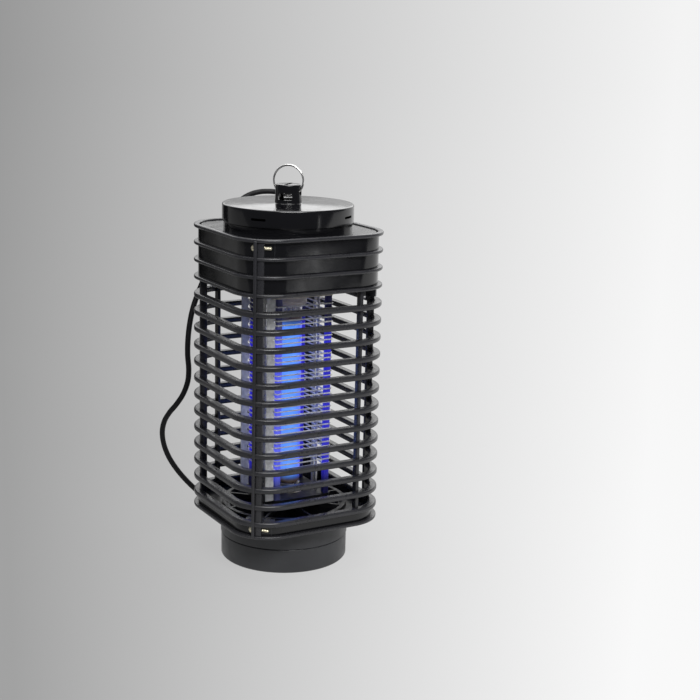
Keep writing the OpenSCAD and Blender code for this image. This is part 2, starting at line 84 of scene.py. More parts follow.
camera = add_camera()
print("camera at", [round(v, 3) for v in camera.location], "lens", camera.data.lens)

# %% [markdown]
# ## Finishes
# Every finish is a small node graph on Object coordinates, so that it sticks to the piece. Three noises
# do the work: a broad one shifts the colour a little, a middle one varies the gloss as handling and dust
# do, and a fine one gives the bump of a moulding or a plated wire. Values that are the same all over are
# set straight on the shader.
# %% Helpers for a node graph


def wire_up(material, kind):
    return material.node_tree.nodes.new(kind)


def noise(material, coords, scale, detail=3.0):
    node = wire_up(material, "ShaderNodeTexNoise")
    node.inputs["Scale"].default_value = scale
    node.inputs["Detail"].default_value = detail
    material.node_tree.links.new(coords.outputs["Object"], node.inputs["Vector"])
    return node.outputs["Fac"]


def ramp(material, factor, low, high, start=0.35, end=0.65):
    node = wire_up(material, "ShaderNodeValToRGB")
    for element, place, colour in zip(node.color_ramp.elements, (start, end), (low, high)):
        element.position = place
        element.color = (*colour, 1)
    material.node_tree.links.new(factor, node.inputs["Fac"])
    return node.outputs["Color"]


def graded(material, factor, low, high):
    node = wire_up(material, "ShaderNodeMapRange")
    node.inputs["From Min"].default_value = 0.3
    node.inputs["From Max"].default_value = 0.7
    node.inputs["To Min"].default_value = low
    node.inputs["To Max"].default_value = high
    material.node_tree.links.new(factor, node.inputs["Value"])
    return node.outputs["Result"]


print("node helpers ready")

# %% [markdown]
# One function makes every plain finish, so that two plastics differ only in the numbers on their own line.
# Pressed metal and wound wire stretch the grain along the piece, and a moulding leaves it even.
# %% Helper: a finish with mottled colour, uneven gloss and a fine grain


def finish(name, colour, gloss, broad=30, fine=2500, relief=0.02, mottle=0.15, stretch=None, **shader):
    material = bpy.data.materials.new(name)
    material.use_nodes = True
    links = material.node_tree.links
    surface = material.node_tree.nodes["Principled BSDF"]
    for label, value in shader.items():
        surface.inputs[label.replace("_", " ")].default_value = value
    coords = wire_up(material, "ShaderNodeTexCoord")
    if stretch:
        mapping = wire_up(material, "ShaderNodeMapping")
        mapping.inputs["Scale"].default_value = stretch
        links.new(coords.outputs["Object"], mapping.inputs["Vector"])
    low = [c * (1 - mottle) for c in colour]
    high = [min(1, c * (1 + mottle)) for c in colour]
    links.new(ramp(material, noise(material, coords, broad), low, high), surface.inputs["Base Color"])
    uneven = noise(material, coords, broad * 6, 5)
    links.new(graded(material, uneven, *gloss), surface.inputs["Roughness"])
    grain = noise(material, coords, fine, 2)
    if stretch:
        links.new(mapping.outputs["Vector"], grain.node.inputs["Vector"])
    bump = wire_up(material, "ShaderNodeBump")
    bump.inputs["Strength"].default_value = 0.6
    bump.inputs["Distance"].default_value = relief * MM
    links.new(grain, bump.inputs["Height"])
    links.new(bump.outputs["Normal"], surface.inputs["Normal"])
    return material


print("a finish can be made")

# %% [markdown]
# Colours are linear values. Black plastic could be pure black, but a little grey keeps its gloss readable.
# %% The finishes
black_gloss = finish("black_gloss", (0.004, 0.004, 0.005), (0.10, 0.18), broad=18, fine=1500, relief=0.003)
black_satin = finish("black_satin", (0.022, 0.022, 0.025), (0.24, 0.34), broad=24, fine=2200, relief=0.004)
tray_grey = finish("tray_grey", (0.030, 0.031, 0.034), (0.34, 0.46), broad=22, fine=2600, relief=0.03)
inner_black = finish("inner_black", (0.010, 0.010, 0.012), (0.3, 0.5), fine=1500, relief=0.03)
ivory = finish("ivory", (0.78, 0.72, 0.62), (0.25, 0.4), broad=60, fine=1200)
plated_brass = finish("plated_brass", (0.80, 0.74, 0.55), (0.2, 0.4), broad=400, fine=4000, Metallic=1.0)
zinc_steel = finish("zinc_steel", (0.60, 0.60, 0.62), (0.22, 0.38), broad=300, fine=5000, Metallic=1.0)
nickel = finish("nickel", (0.86, 0.85, 0.83), (0.18, 0.3), broad=250, fine=3000, relief=0.006, Metallic=1.0)
galvanised = finish(
    "galvanised", (0.94, 0.94, 0.95), (0.25, 0.45), broad=260, fine=2500, mottle=0.06, Metallic=0.2
)
strip_zinc = finish("strip_zinc", (0.80, 0.81, 0.83), (0.35, 0.6), broad=330, mottle=0.15, Metallic=0.1)
pressed_alloy = finish(
    "pressed_alloy", (0.72, 0.72, 0.74), (0.22, 0.36), stretch=(1, 1, 0.05), fine=3000, Metallic=1.0
)
laminate = finish("laminate", (0, 0.10, 0.035), (0.25, 0.4), broad=140)
dipped_film = finish("dipped_film", (0.30, 0.03, 0.02), (0.15, 0.3), broad=160)
black_epoxy = finish("black_epoxy", (0, 0.02, 0.02), (0.4, 0.6), broad=200)
ferrite_grey = finish("ferrite_grey", (0.035, 0.03, 0.028), (0.6, 0.8), fine=1800, relief=0.08)
copper_wire = finish(
    "copper_wire", (0.55, 0.20, 0.08), (0.25, 0.4), stretch=(1, 1, 14), fine=160, relief=0.25, Metallic=0.9
)
silicone = finish("silicone", (0.55, 0.53, 0.50), (0.4, 0.55), broad=120)
cord_black = finish(
    "cord_black", (0.003, 0.003, 0.004), (0.5, 0.68), broad=70, fine=1800, relief=0.04,
    Specular_IOR_Level=0.25,
)
print("finishes:", len(bpy.data.materials))

# %% [markdown]
# ## The mains lead
# A lead has a fixed length, so its route is one smooth curve: straight out of the cap's strain relief, over
# the back of the top, down the left side in a slack line, round behind the cage to the floor, and into a
# coil that is wound as for storage. The stretches outside the coil are listed points, the same as in the
# frame: those beside the cage were set close to measured places, and the rest were laid out by judgement.
# The coil is a table: each entry says by which turn the lead has reached which layer.
# %% Route of the lead
CORD_D = 4 * MM
FALL = [
    (37.4, 53.4, 246), (39.8, 57.8, 246.2), (40.9, 62.8, 246.6), (40.7, 68, 247.3),
    (39.2, 73, 248), (36.4, 77.4, 248.8), (32.6, 81, 249.3), (27.8, 83.7, 249.6),
    (22, 85.4, 249.4), (15.6, 86.6, 248.2), (9, 87.6, 245.2),
    (2, 88, 240), (-4, 87, 232), (-9, 85.4, 223), (-14, 83.6, 213), (-19.5, 81.6, 202),
    (-26, 79.4, 190.5), (-32.5, 77.2, 179), (-37.6, 75.4, 168), (-41, 73.8, 156.5),
    (-43, 72.4, 145), (-43.6, 71.6, 134), (-42.9, 71.3, 123.6), (-43.2, 72.6, 113.6),
    (-45.4, 76, 103.6), (-48.6, 81, 95), (-51.6, 87, 87.6), (-53.2, 93, 79.6),
    (-52.8, 98.4, 70), (-50, 102.6, 59), (-45, 105.6, 47.6), (-38, 107.6, 36.4),
    (-29.6, 108.4, 25.6), (-20.4, 107.6, 15.6), (-11.6, 104.6, 7.6), (-4, 99.6, 3.2),
    (2.6, 93, 2), (7.6, 85, 2), (10.2, 76, 2), (11, 67, 2),
]
TO_PLUG = [
    (35, 43, 10), (41, 43, 9.8), (48, 43, 8.6), (55, 43, 7.2), (61.5, 44.3, 6.4), (67, 48, 6.4),
    (70.7, 53.5, 6.8), (72, 60, 7),
]
COIL_CENTRE = (35, 67)
# Turn in degrees, radius and height that the lead has reached there.
WINDING = [
    (180, 24, 2), (430, 24, 2), (530, 20, 2), (770, 20, 2), (840, 20, 6), (1070, 20, 6), (1170, 24, 6),
    (1380, 24, 6), (1460, 22, 10), (1640, 22, 10), (1710, 24, 10),
]


print("route:", len(FALL), "points down to the coil and", len(TO_PLUG), "on to the plug")

# %% [markdown]
# The coil could be a spiral from a modifier, but its layers change height and radius as a hand winds them.
# A smooth line through all the points then gives the lead one even bend from end to end.
# %% Coil and smooth line


def eased(t):
    return t * t * (3 - 2 * t)


def coil_points(step=15):
    points = []
    for turn in range(WINDING[0][0] + step, WINDING[-1][0], step):
        a, b = next((a, b) for a, b in zip(WINDING, WINDING[1:]) if a[0] <= turn <= b[0])
        t = eased((turn - a[0]) / (b[0] - a[0]))
        radius, height = a[1] + (b[1] - a[1]) * t, a[2] + (b[2] - a[2]) * t
        if a[1] != b[1] and a[2] != b[2]:  # the last layer rolls up over the lead inside it
            swing = math.radians(63.4 * t)
            radius, height = 20 + (4 + 0.47 * t) * math.cos(swing), 6 + (4 + 0.47 * t) * math.sin(swing)
        angle = math.radians(turn)
        east, north = radius * math.cos(angle), radius * math.sin(angle)
        points.append((COIL_CENTRE[0] + east, COIL_CENTRE[1] + north, height))
    return points


def smooth_line(points, steps=4):
    """Points on a Catmull-Rom line through the given ones."""
    line = []
    for i in range(len(points) - 1):
        a, b, c, d = (Vector(points[min(max(i + k, 0), len(points) - 1)]) for k in (-1, 0, 1, 2))
        for s in range(steps):
            t = s / steps
            bend, twist = 2 * a - 5 * b + 4 * c - d, 3 * b - a - 3 * c + d
            line.append(0.5 * (2 * b + (c - a) * t + bend * t * t + twist * t**3))
    return line + [Vector(points[-1])]


lead_line = [p * MM for p in smooth_line(FALL + coil_points() + TO_PLUG)]

# %% [markdown]
# The lead itself is a curve with a round section: it stays one clean tube of true diameter however it bends.
# %% The lead


def tube_along(name, points, diameter, material):
    data = bpy.data.curves.new(name, "CURVE")
    data.dimensions = "3D"
    data.bevel_depth = diameter / 2
    data.bevel_resolution = 4
    data.use_fill_caps = True
    spline = data.splines.new("POLY")
    spline.points.add(len(points) - 1)
    for spot, point in zip(spline.points, points):
        spot.co = (*point, 1)
    spline.use_smooth = True
    piece = bpy.data.objects.new(name, data)
    bpy.context.scene.collection.objects.link(piece)
    data.materials.append(material)
    return piece


lead = tube_along("lead", lead_line, CORD_D, cord_black)
print("lead:", len(lead.data.splines[0].points), "points")

# %% [markdown]
# ## Mesh helpers
# The real parts come from moulds and lathes. Round ones could be cylinders with modifiers, but a profile
# turned about an axis shows every step and groove in one short list. Small blocks are boxes with eased
# edges. Everything ends with merged doubles, outward normals and smooth shading that stops at real edges.
# %% Helpers for a clean mesh


def finish_mesh(piece, material=None, angle=32):
    data = bmesh.new()
    data.from_mesh(piece.data)
    bmesh.ops.remove_doubles(data, verts=data.verts, dist=1e-6)
    bmesh.ops.delete(data, geom=[e for e in data.edges if not e.link_faces], context="EDGES")
    bmesh.ops.recalc_face_normals(data, faces=data.faces)
    data.to_mesh(piece.data)
    data.free()
    piece.data.shade_smooth()
    piece.data.set_sharp_from_angle(angle=math.radians(angle))
    if material:
        piece.data.materials.clear()
        piece.data.materials.append(material)
    return piece


def mesh_piece(name, points, faces, material=None, edges=()):
    data = bpy.data.meshes.new(name)
    data.from_pydata([tuple(p) for p in points], list(edges), faces)
    piece = bpy.data.objects.new(name, data)
    bpy.context.scene.collection.objects.link(piece)
    return finish_mesh(piece, material) if faces else piece


print("a mesh can be made from points and faces")

# %% [markdown]
# A moulding has no dead sharp corner, so a profile is rounded before it is turned. Each corner is replaced
# by a short curve that starts and ends on its two sides, and takes up at most half of either.
# %% Helpers for turned parts


def rounded(profile, sizes, steps=5):
    """The profile in mm with its corners rounded; sizes holds a radius for each point, 0 for a sharp one."""
    out = []
    count = len(profile)
    for i, (point, size) in enumerate(zip(profile, sizes)):
        corner = Vector(point)
        if not size or i in (0, count - 1):
            out.append(corner)
            continue
        back, on = Vector(profile[i - 1]) - corner, Vector(profile[i + 1]) - corner
        reach = min(size, back.length * 0.49, on.length * 0.49)
        start, end = corner + back.normalized() * reach, corner + on.normalized() * reach
        for s in range(steps + 1):
            t = s / steps
            out.append(start * (1 - t) ** 2 + corner * 2 * t * (1 - t) + end * t * t)
    return out


def turned(name, profile, material, centre=(0, 0), steps=128):
    """A solid of revolution from (radius, height) points in mm, the last one joined to the first."""
    points, faces = [], []
    count = len(profile)
    for k in range(steps):
        c, s = math.cos(2 * math.pi * k / steps), math.sin(2 * math.pi * k / steps)
        points += [((centre[0] + r * c) * MM, (centre[1] + r * s) * MM, z * MM) for r, z in profile]
    for k in range(steps):
        a, b = k * count, (k + 1) % steps * count
        for i in range(count):
            j = (i + 1) % count
            faces.append((a + i, b + i, b + j, a + j))
    return mesh_piece(name, points, faces, material)


print("a profile can be rounded and turned")

# %% [markdown]
# Square parts could be cubes with a Bevel modifier. The bevel is done on the mesh itself here, because
# many of these boxes are joined to one moulding, and the joined piece then has nothing left to apply.
# %% Helpers for boxed and joined parts


def block(name, size, place, turn=0.0, edge=0.4, material=None):
    """A box with eased edges; size and place of its middle are in mm, turn in degrees about the origin."""
    data = bmesh.new()
    bmesh.ops.create_cube(data, size=1)
    bmesh.ops.scale(data, vec=[v * MM for v in size], verts=data.verts)
    reach = min(edge, 0.45 * min(size)) * MM
    bmesh.ops.bevel(data, geom=data.edges[:], offset=reach, segments=3, profile=0.5, affect="EDGES")
    move = Matrix.Rotation(math.radians(turn), 4, "Z") @ Matrix.Translation([v * MM for v in place])
    bmesh.ops.transform(data, matrix=move, verts=data.verts)
    mesh = bpy.data.meshes.new(name)
    data.to_mesh(mesh)
    data.free()
    piece = bpy.data.objects.new(name, mesh)
    bpy.context.scene.collection.objects.link(piece)
    return finish_mesh(piece, material)


def joined(name, pieces, turn=0.0):
    """The pieces' meshes as one, turned about the upright axis."""
    data = bmesh.new()
    materials = []
    for piece in pieces:
        material = piece.data.materials[0]
        if material not in materials:
            materials.append(material)
        first = len(data.faces)
        data.from_mesh(piece.data)
        data.faces.ensure_lookup_table()
        for face in data.faces[first:]:
            face.material_index = materials.index(material)
    about_z = Matrix.Rotation(math.radians(turn), 3, "Z")
    bmesh.ops.rotate(data, cent=(0, 0, 0), matrix=about_z, verts=data.verts)
    mesh = bpy.data.meshes.new(name)
    data.to_mesh(mesh)
    data.free()
    for material in materials:
        mesh.materials.append(material)
    piece = bpy.data.objects.new(name, mesh)
    bpy.context.scene.collection.objects.link(piece)
    mesh.shade_smooth()
    mesh.set_sharp_from_angle(angle=math.radians(32))
    return piece


print("boxes can be made and joined")

# %% [markdown]
# A window in a moulding is cut with an exact Boolean, which keeps its edges straight. The cutter is thrown
# away afterwards, so that only the finished piece is left.
# %% Helpers that cut a piece


def drop(*pieces):
    for piece in pieces:
        bpy.data.objects.remove(piece)


def cut(piece, *cutters):
    """Takes the cutters out of the piece for good."""
    for cutter in cutters:
        modifier = piece.modifiers.new("cut", "BOOLEAN")
        modifier.operation = "DIFFERENCE"
        modifier.solver = "EXACT"
        modifier.object = cutter
    mesh = bpy.data.meshes.new_from_object(piece.evaluated_get(bpy.context.evaluated_depsgraph_get()))
    piece.modifiers.clear()
    piece.data = mesh
    drop(*cutters)
    return finish_mesh(piece)


print("windows can be cut")

# %% [markdown]
# ## Two Geometry Nodes trees
# The cage is a stack of equal hoops, and the grid is a stack of equal wire loops, so both come from one
# tree: it sweeps a rounded section along a path and repeats the result upwards. The second tree repeats
# any small piece in a row and round the axis; it makes screws, lugs and grip ribs.
# %% Helpers for a node tree


def new_tree(name, sockets):
    tree = bpy.data.node_groups.new(name, "GeometryNodeTree")
    tree.interface.new_socket("Geometry", in_out="INPUT", socket_type="NodeSocketGeometry")
    for label, kind, value in sockets:
        socket = tree.interface.new_socket(label, in_out="INPUT", socket_type=kind)
        if value is not None:
            socket.default_value = value
    tree.interface.new_socket("Geometry", in_out="OUTPUT", socket_type="NodeSocketGeometry")
    return tree, tree.nodes.new("NodeGroupInput"), tree.nodes.new("NodeGroupOutput")


def chain(tree, *pairs):
    """Links each (node, output) to the (node, input) that follows it."""
    for (a, out), (b, into) in pairs:
        tree.links.new(a.outputs[out], b.inputs[into])


print("a tree can be made and linked")

# %% [markdown]
# In the first tree a path of loose edges becomes a curve, and a rounded rectangle is swept along it. A line
# of points then gives the places of the copies, one pitch apart.
# %% Tree that sweeps and stacks


def stack_tree():
    tree, given, result = new_tree("swept_stack", [
        ("Depth", "NodeSocketFloat", 0.006), ("Height", "NodeSocketFloat", 0.004),
        ("Edge radius", "NodeSocketFloat", 0.001), ("Count", "NodeSocketInt", 1),
        ("Pitch", "NodeSocketVector", None), ("Material", "NodeSocketMaterial", None),
    ])
    make = tree.nodes.new
    path = make("GeometryNodeMeshToCurve")
    section = make("GeometryNodeCurvePrimitiveQuadrilateral")
    round_off = make("GeometryNodeFilletCurve")
    sweep = make("GeometryNodeCurveToMesh")
    line = make("GeometryNodeMeshLine")
    repeat = make("GeometryNodeInstanceOnPoints")
    real = make("GeometryNodeRealizeInstances")
    paint = make("GeometryNodeSetMaterial")
    round_off.mode = "POLY"
    round_off.inputs["Count"].default_value = 5
    round_off.inputs["Limit Radius"].default_value = True
    sweep.inputs["Fill Caps"].default_value = True
    chain(
        tree,
        ((given, "Geometry"), (path, "Mesh")), ((given, "Depth"), (section, "Width")),
        ((given, "Height"), (section, "Height")), ((section, "Curve"), (round_off, "Curve")),
        ((given, "Edge radius"), (round_off, "Radius")), ((path, "Curve"), (sweep, "Curve")),
        ((round_off, "Curve"), (sweep, "Profile Curve")), ((given, "Count"), (line, "Count")),
        ((given, "Pitch"), (line, "Offset")), ((line, "Mesh"), (repeat, "Points")),
        ((sweep, "Mesh"), (repeat, "Instance")), ((repeat, "Instances"), (real, "Geometry")),
        ((real, "Geometry"), (paint, "Geometry")), ((given, "Material"), (paint, "Material")),
        ((paint, "Geometry"), (result, "Geometry")),
    )
    return tree


STACK = stack_tree()
print("tree:", STACK.name)

# %% [markdown]
# In the second tree the row comes first, and the whole row is then repeated round the upright axis. A
# copy's turn is its number times one step, so it could be any count round the axis, not only two or three.
# %% Tree that repeats a piece in a row and round the axis


def repeat_tree():
    tree, given, result = new_tree("row_and_round", [
        ("Along", "NodeSocketInt", 1), ("Pitch", "NodeSocketVector", None), ("Around", "NodeSocketInt", 1),
        ("Turn", "NodeSocketFloat", 0.0), ("Material", "NodeSocketMaterial", None),
    ])
    make = tree.nodes.new
    row = make("GeometryNodeMeshLine")
    in_row = make("GeometryNodeInstanceOnPoints")
    ring = make("GeometryNodeMeshLine")
    in_ring = make("GeometryNodeInstanceOnPoints")
    index = make("GeometryNodeInputIndex")
    times = make("ShaderNodeMath")
    turn = make("ShaderNodeCombineXYZ")
    real = make("GeometryNodeRealizeInstances")
    paint = make("GeometryNodeSetMaterial")
    times.operation = "MULTIPLY"
    ring.inputs["Offset"].default_value = (0, 0, 0)
    chain(
        tree,
        ((given, "Along"), (row, "Count")), ((given, "Pitch"), (row, "Offset")),
        ((row, "Mesh"), (in_row, "Points")), ((given, "Geometry"), (in_row, "Instance")),
        ((given, "Around"), (ring, "Count")), ((ring, "Mesh"), (in_ring, "Points")),
        ((in_row, "Instances"), (in_ring, "Instance")), ((index, "Index"), (times, 0)),
        ((given, "Turn"), (times, 1)), ((times, "Value"), (turn, "Z")),
        ((turn, "Vector"), (in_ring, "Rotation")),
        ((in_ring, "Instances"), (real, "Geometry")), ((real, "Geometry"), (paint, "Geometry")),
        ((given, "Material"), (paint, "Material")), ((paint, "Geometry"), (result, "Geometry")),
    )
    return tree


REPEAT = repeat_tree()
print("tree:", REPEAT.name)

# %% [markdown]
# The export takes plain meshes only, so a tree is run once and its result is kept in place of the source.
# An input is set by its socket's identifier, since its name is only a label.
# %% Helper that runs a tree and keeps its mesh


def grown(name, source, tree, **given):
    """Runs a tree on the source and keeps the result as a plain mesh."""
    modifier = source.modifiers.new("grow", "NODES")
    modifier.node_group = tree
    for socket in tree.interface.items_tree:
        if socket.in_out == "INPUT" and socket.name.replace(" ", "_") in given:
            modifier[socket.identifier] = given[socket.name.replace(" ", "_")]
    source.update_tag()
    bpy.context.view_layer.update()
    mesh = bpy.data.meshes.new_from_object(source.evaluated_get(bpy.context.evaluated_depsgraph_get()))
    source.modifiers.clear()
    drop(source)
    piece = bpy.data.objects.new(name, mesh)
    bpy.context.scene.collection.objects.link(piece)
    return finish_mesh(piece, given["Material"])


print("a tree's result can be kept")

# %% [markdown]
# ## Cage halves
# Each half is one black moulding that runs round the L of the plan, from the near split to the far one.
# Its walls are polished like the mould, and its bars and flanges are a little duller. Its hoops are one
# rounded bar, swept round and stacked thirteen times; the solid top is a wall with three thin fins and a
# lip; the foot is a short wall. The bars could be thirteen teeth on one turned profile, but a stacked sweep
# keeps the bar's rounding in one place. The second half is the same piece turned half way round, which is
# how the real one is moulded.
# %% Plan of the cage
RING_HALF, RING_CORNER = 55.5, 28.0
FOOT_Z, RING_PITCH, OPEN_RINGS, FINS = 32.0, 12.0, 13, 3
RING_HEIGHT, RING_DEPTH, FIN_HEIGHT = 3.8, 6.0, 2.4
WALL, WALL_INSET = 2.4, 3.0
PLATE_Z = FOOT_Z + RING_PITCH * (OPEN_RINGS + FINS + 1)
LEDGE_Z = FOOT_Z + RING_PITCH * (OPEN_RINGS + 1) - FIN_HEIGHT
CORNER_AT = RING_HALF - RING_CORNER


def level(n):
    return FOOT_Z + RING_PITCH * n


def half_plan(inset, steps=14):
    """The L of the plan, inset from the hoops' outer edge, from the near split to the far one."""
    radius = RING_CORNER - inset
    points = []
    for cx, cy, start, sweep in ((-1, -1, 225, 45), (1, -1, 270, 90), (1, 1, 0, 45)):
        for k in range(steps * sweep // 45 + 1):
            angle = math.radians(start + 45 * k / steps)
            east, north = radius * math.cos(angle), radius * math.sin(angle)
            points.append((cx * CORNER_AT + east, cy * CORNER_AT + north))
    return points


def band(name, depth, height, edge, low, count=1, inset=0.0, pitch=RING_PITCH, material=black_gloss):
    """Bars swept round the L, their outer edge inset from the hoops' and their underside at low."""
    plan = half_plan(inset + depth / 2)
    points = [(x * MM, y * MM, (low + height / 2) * MM) for x, y in plan]
    source = mesh_piece(name, points, [], edges=[(i, i + 1) for i in range(len(points) - 1)])
    return grown(
        name, source, STACK, Depth=depth * MM, Height=height * MM, Edge_radius=edge * MM, Count=count,
        Pitch=(0.0, 0.0, pitch * MM), Material=material,
    )


HOOP_EDGE, FIN_EDGE = 1.35, 1.0
hoops_low, fins_low = level(1) - RING_HEIGHT, level(OPEN_RINGS + 1) - FIN_HEIGHT
hoops = band("hoops", RING_DEPTH, RING_HEIGHT, HOOP_EDGE, hoops_low, OPEN_RINGS, material=black_satin)
fins = band("fins", WALL_INSET + WALL, FIN_HEIGHT, FIN_EDGE, fins_low, FINS, material=black_satin)
print("hoops:", len(hoops.data.polygons), "faces; fins:", len(fins.data.polygons))

# %% [markdown]
# The flat plates reach from a round hole out to a round-cornered square. A Boolean could cut the hole, but
# two rims at the same angles, joined by quads, give clean faces. The same walk round makes short arcs.
# %% Helpers for plates and arcs


def edge_at(angle, half, corner):
    """Distance from the axis to a round-cornered square, at an angle in the plan."""
    c, s = abs(math.cos(angle)), abs(math.sin(angle))
    flat = half / max(c, s)
    if min(c, s) * flat <= half - corner:
        return flat
    along = (half - corner) * (c + s)
    return along + math.sqrt(corner**2 - 2 * (half - corner) ** 2 + along**2)


def plate(name, half, corner, hole, low, high, start, sweep, material, steps=96):
    """A flat plate from a round hole out to a round-cornered square, over part of a turn."""
    points, faces = [], []
    ends = sweep < 360
    for k in range(steps + 1 if ends else steps):
        angle = math.radians(start + sweep * k / steps)
        c, s = math.cos(angle), math.sin(angle)
        outer = edge_at(angle, half, corner)
        for r, z in ((hole, low), (outer, low), (outer, high), (hole, high)):
            points.append((r * c * MM, r * s * MM, z * MM))
    count = len(points) // 4
    for k in range(count - 1 if ends else count):
        a, b = 4 * k, 4 * ((k + 1) % count)
        faces += [(a + i, b + i, b + (i + 1) % 4, a + (i + 1) % 4) for i in range(4)]
    if ends:
        faces += [(0, 1, 2, 3), tuple(4 * (count - 1) + i for i in (3, 2, 1, 0))]
    return mesh_piece(name, points, faces, material)


def arc_block(name, inner, outer, low, high, middle, sweep, material, steps=16):
    """Part of a flat ring, swept evenly to both sides of its middle angle."""
    section = ((inner, low), (outer, low), (outer, high), (inner, high))
    points, faces = [], []
    for k in range(steps + 1):
        angle = math.radians(middle - sweep / 2 + sweep * k / steps)
        c, s = math.cos(angle), math.sin(angle)
        points += [(r * c * MM, r * s * MM, z * MM) for r, z in section]
    for k in range(steps):
        a, b = 4 * k, 4 * (k + 1)
        faces += [(a + i, b + i, b + (i + 1) % 4, a + (i + 1) % 4) for i in range(4)]
    faces += [(0, 1, 2, 3), tuple(4 * steps + i for i in (3, 2, 1, 0))]
    return mesh_piece(name, points, faces, material)


print("plates and arcs can be made")

# %% [markdown]
# The closed parts of the moulding are plain bands round the same L. The top plate grips the cap's neck,
# and two low stops stand beside it.
# %% Walls, lip and top plate
NECK_R, HOLE_R = 44.2, 43.0
STOP_R = NECK_R + 0.4
wall_parts = [
    band("top_wall", WALL, PLATE_Z - LEDGE_Z - 1, 0.3, LEDGE_Z, inset=WALL_INSET),
    band("foot_wall", WALL, RING_PITCH - 3, 0.3, FOOT_Z + 1.5, inset=WALL_INSET),
    band("foot_lip", RING_DEPTH + 2, 2.0, 0.7, FOOT_Z, material=black_satin),
    band("top_lip", 4.0, 2.6, 1.1, PLATE_Z - 2.6, material=black_satin),
    plate("top_plate", 52.5, 25.0, HOLE_R, PLATE_Z - 2.6, PLATE_Z - 1, 225, 180, black_gloss),
    arc_block("stop_near", STOP_R, STOP_R + 2.9, PLATE_Z - 1.2, PLATE_Z + 0.6, 231.2, 11.5, black_gloss),
    arc_block("stop_wide", STOP_R, STOP_R + 1.6, PLATE_Z - 1.2, PLATE_Z - 0.1, 247.5, 19, black_gloss),
]
print("walls and plate:", sum(len(p.data.polygons) for p in wall_parts), "faces")

# %% [markdown]
# At each split a thick flange meets a thin one, with pads behind them for the screws, and one upright rib
# on each side ties the hoops together. They are all straight bars, so one helper places them by angle.
# %% Flanges, ribs and screw tab
FLANGE_LOW = FOOT_Z + 0.8
THICK, THIN = 4.4, 2.2
RIB_LOW, RIB_AT = level(1) - 1, 29.5
SPLIT_NEAR, SPLIT_FAR = 225, 45
TAB_AT, TAB_LOW = 38.0, LEDGE_Z - 6
TAB_PROFILE = [(1.2, TAB_LOW), (3.4, TAB_LOW), (3.4, LEDGE_Z), (1.2, LEDGE_Z)]


def upright(name, size_x, size_y, x, y, low, high, turn, edge=0.5):
    return block(name, (size_x, size_y, high - low), (x, y, (low + high) / 2), turn, edge, black_satin)


fitting_parts = [
    upright("thick_flange", 7.6, THICK, 61.8, THICK / 2, FLANGE_LOW, PLATE_Z - 2.6, SPLIT_NEAR),
    upright("thin_flange", 9.2, THIN, 62.6, -THIN / 2, FLANGE_LOW, PLATE_Z - 1.3, SPLIT_FAR),
    upright("rib_right", 5.0, 2.4, 50.0, -RIB_AT, RIB_LOW, LEDGE_Z, 0, 0.4),
    upright("rib_front", 5.0, 2.4, 50.0, RIB_AT, RIB_LOW, LEDGE_Z, -90, 0.4),
    turned("tab", rounded(TAB_PROFILE, (0, 0.5, 0, 0)), black_gloss, (TAB_AT, -TAB_AT), 32),
    upright("tab_web", 9.8, 3.0, TAB_AT * math.sqrt(2) + 4.9, 0.0, TAB_LOW, LEDGE_Z, -45, 0.3),
    upright("pad_near", 6.6, 11.0, 58.3, 5.5, PLATE_Z - 12.4, PLATE_Z - 1.4, SPLIT_NEAR, 0.6),
    upright("pad_far", 5.6, 9.0, 57.8, -4.5, PLATE_Z - 12.4, PLATE_Z - 1.4, SPLIT_FAR, 0.6),
    upright("pad_foot", 6.6, 11.0, 58.3, 5.5, FLANGE_LOW, FLANGE_LOW + 11, SPLIT_NEAR, 0.6),
    upright("pad_foot_far", 5.6, 9.0, 57.8, -4.5, FLANGE_LOW, FLANGE_LOW + 11, SPLIT_FAR, 0.6),
]
half_parts = [hoops, fins, *wall_parts, *fitting_parts]
cage_right = joined("cage_right", half_parts)
cage_left = joined("cage_left", half_parts, 180)
drop(*half_parts)
print("cage half:", len(cage_right.data.polygons), "faces")

# %% [markdown]
# ## Cap, boss and hanging ring
# The cap is turned from one profile, and then opened: vents in its side, a hole for the lead, and in the
# boss a hollow with two windows, two eyes for the wire ring and a slot across the top.
# %% Turned cap
CAP_R, CAP_Z, CAP_TOP, BOSS_TOP = 45.2, PLATE_Z + 4, PLATE_Z + 16, PLATE_Z + 29
BOSS_R, HINGE_Z = 8.7, PLATE_Z + 24.4
CAP_PROFILE = [
    (HOLE_R - 2, PLATE_Z - 4.6), (NECK_R, PLATE_Z - 4.6), (NECK_R, PLATE_Z - 2.7),
    (HOLE_R - 0.1, PLATE_Z - 2.7), (HOLE_R - 0.1, PLATE_Z - 1), (NECK_R, PLATE_Z - 1),
    (NECK_R, CAP_Z), (CAP_R, CAP_Z), (CAP_R, CAP_TOP),
    (BOSS_R + 0.5, CAP_TOP), (BOSS_R, BOSS_TOP), (0, BOSS_TOP),
    (0, CAP_TOP - 2), (HOLE_R - 2, CAP_TOP - 2),
]
CAP_ROUNDS = [0, 0.3, 0, 0, 0, 0, 0.3, 0.5, 1.3, 0.8, 0.9, 0, 0, 0.5]
cap = turned("cap", rounded(CAP_PROFILE, CAP_ROUNDS), black_gloss, steps=160)
print("cap:", len(cap.data.polygons), "faces")

# %% [markdown]
# The openings could be left out of a hand-built mesh, but the real ones are made by pins and blades in the
# mould. Cutting the turned cap with rods and blocks follows that, and keeps each opening's size in one line.
# %% Openings in the cap


def rod(name, radius, length, place, turn, steps=40):
    """An upright rod laid along its radial direction, for cutting."""
    half = length / 2
    profile = [(0, -half), (radius, -half), (radius, half), (0, half)]
    piece = turned(name, profile, black_gloss, steps=steps)
    lay = Matrix.Rotation(math.radians(turn), 4, "Z") @ Matrix.Translation([v * MM for v in place])
    piece.data.transform(lay @ Matrix.Rotation(math.radians(90), 4, "Y"))
    return piece


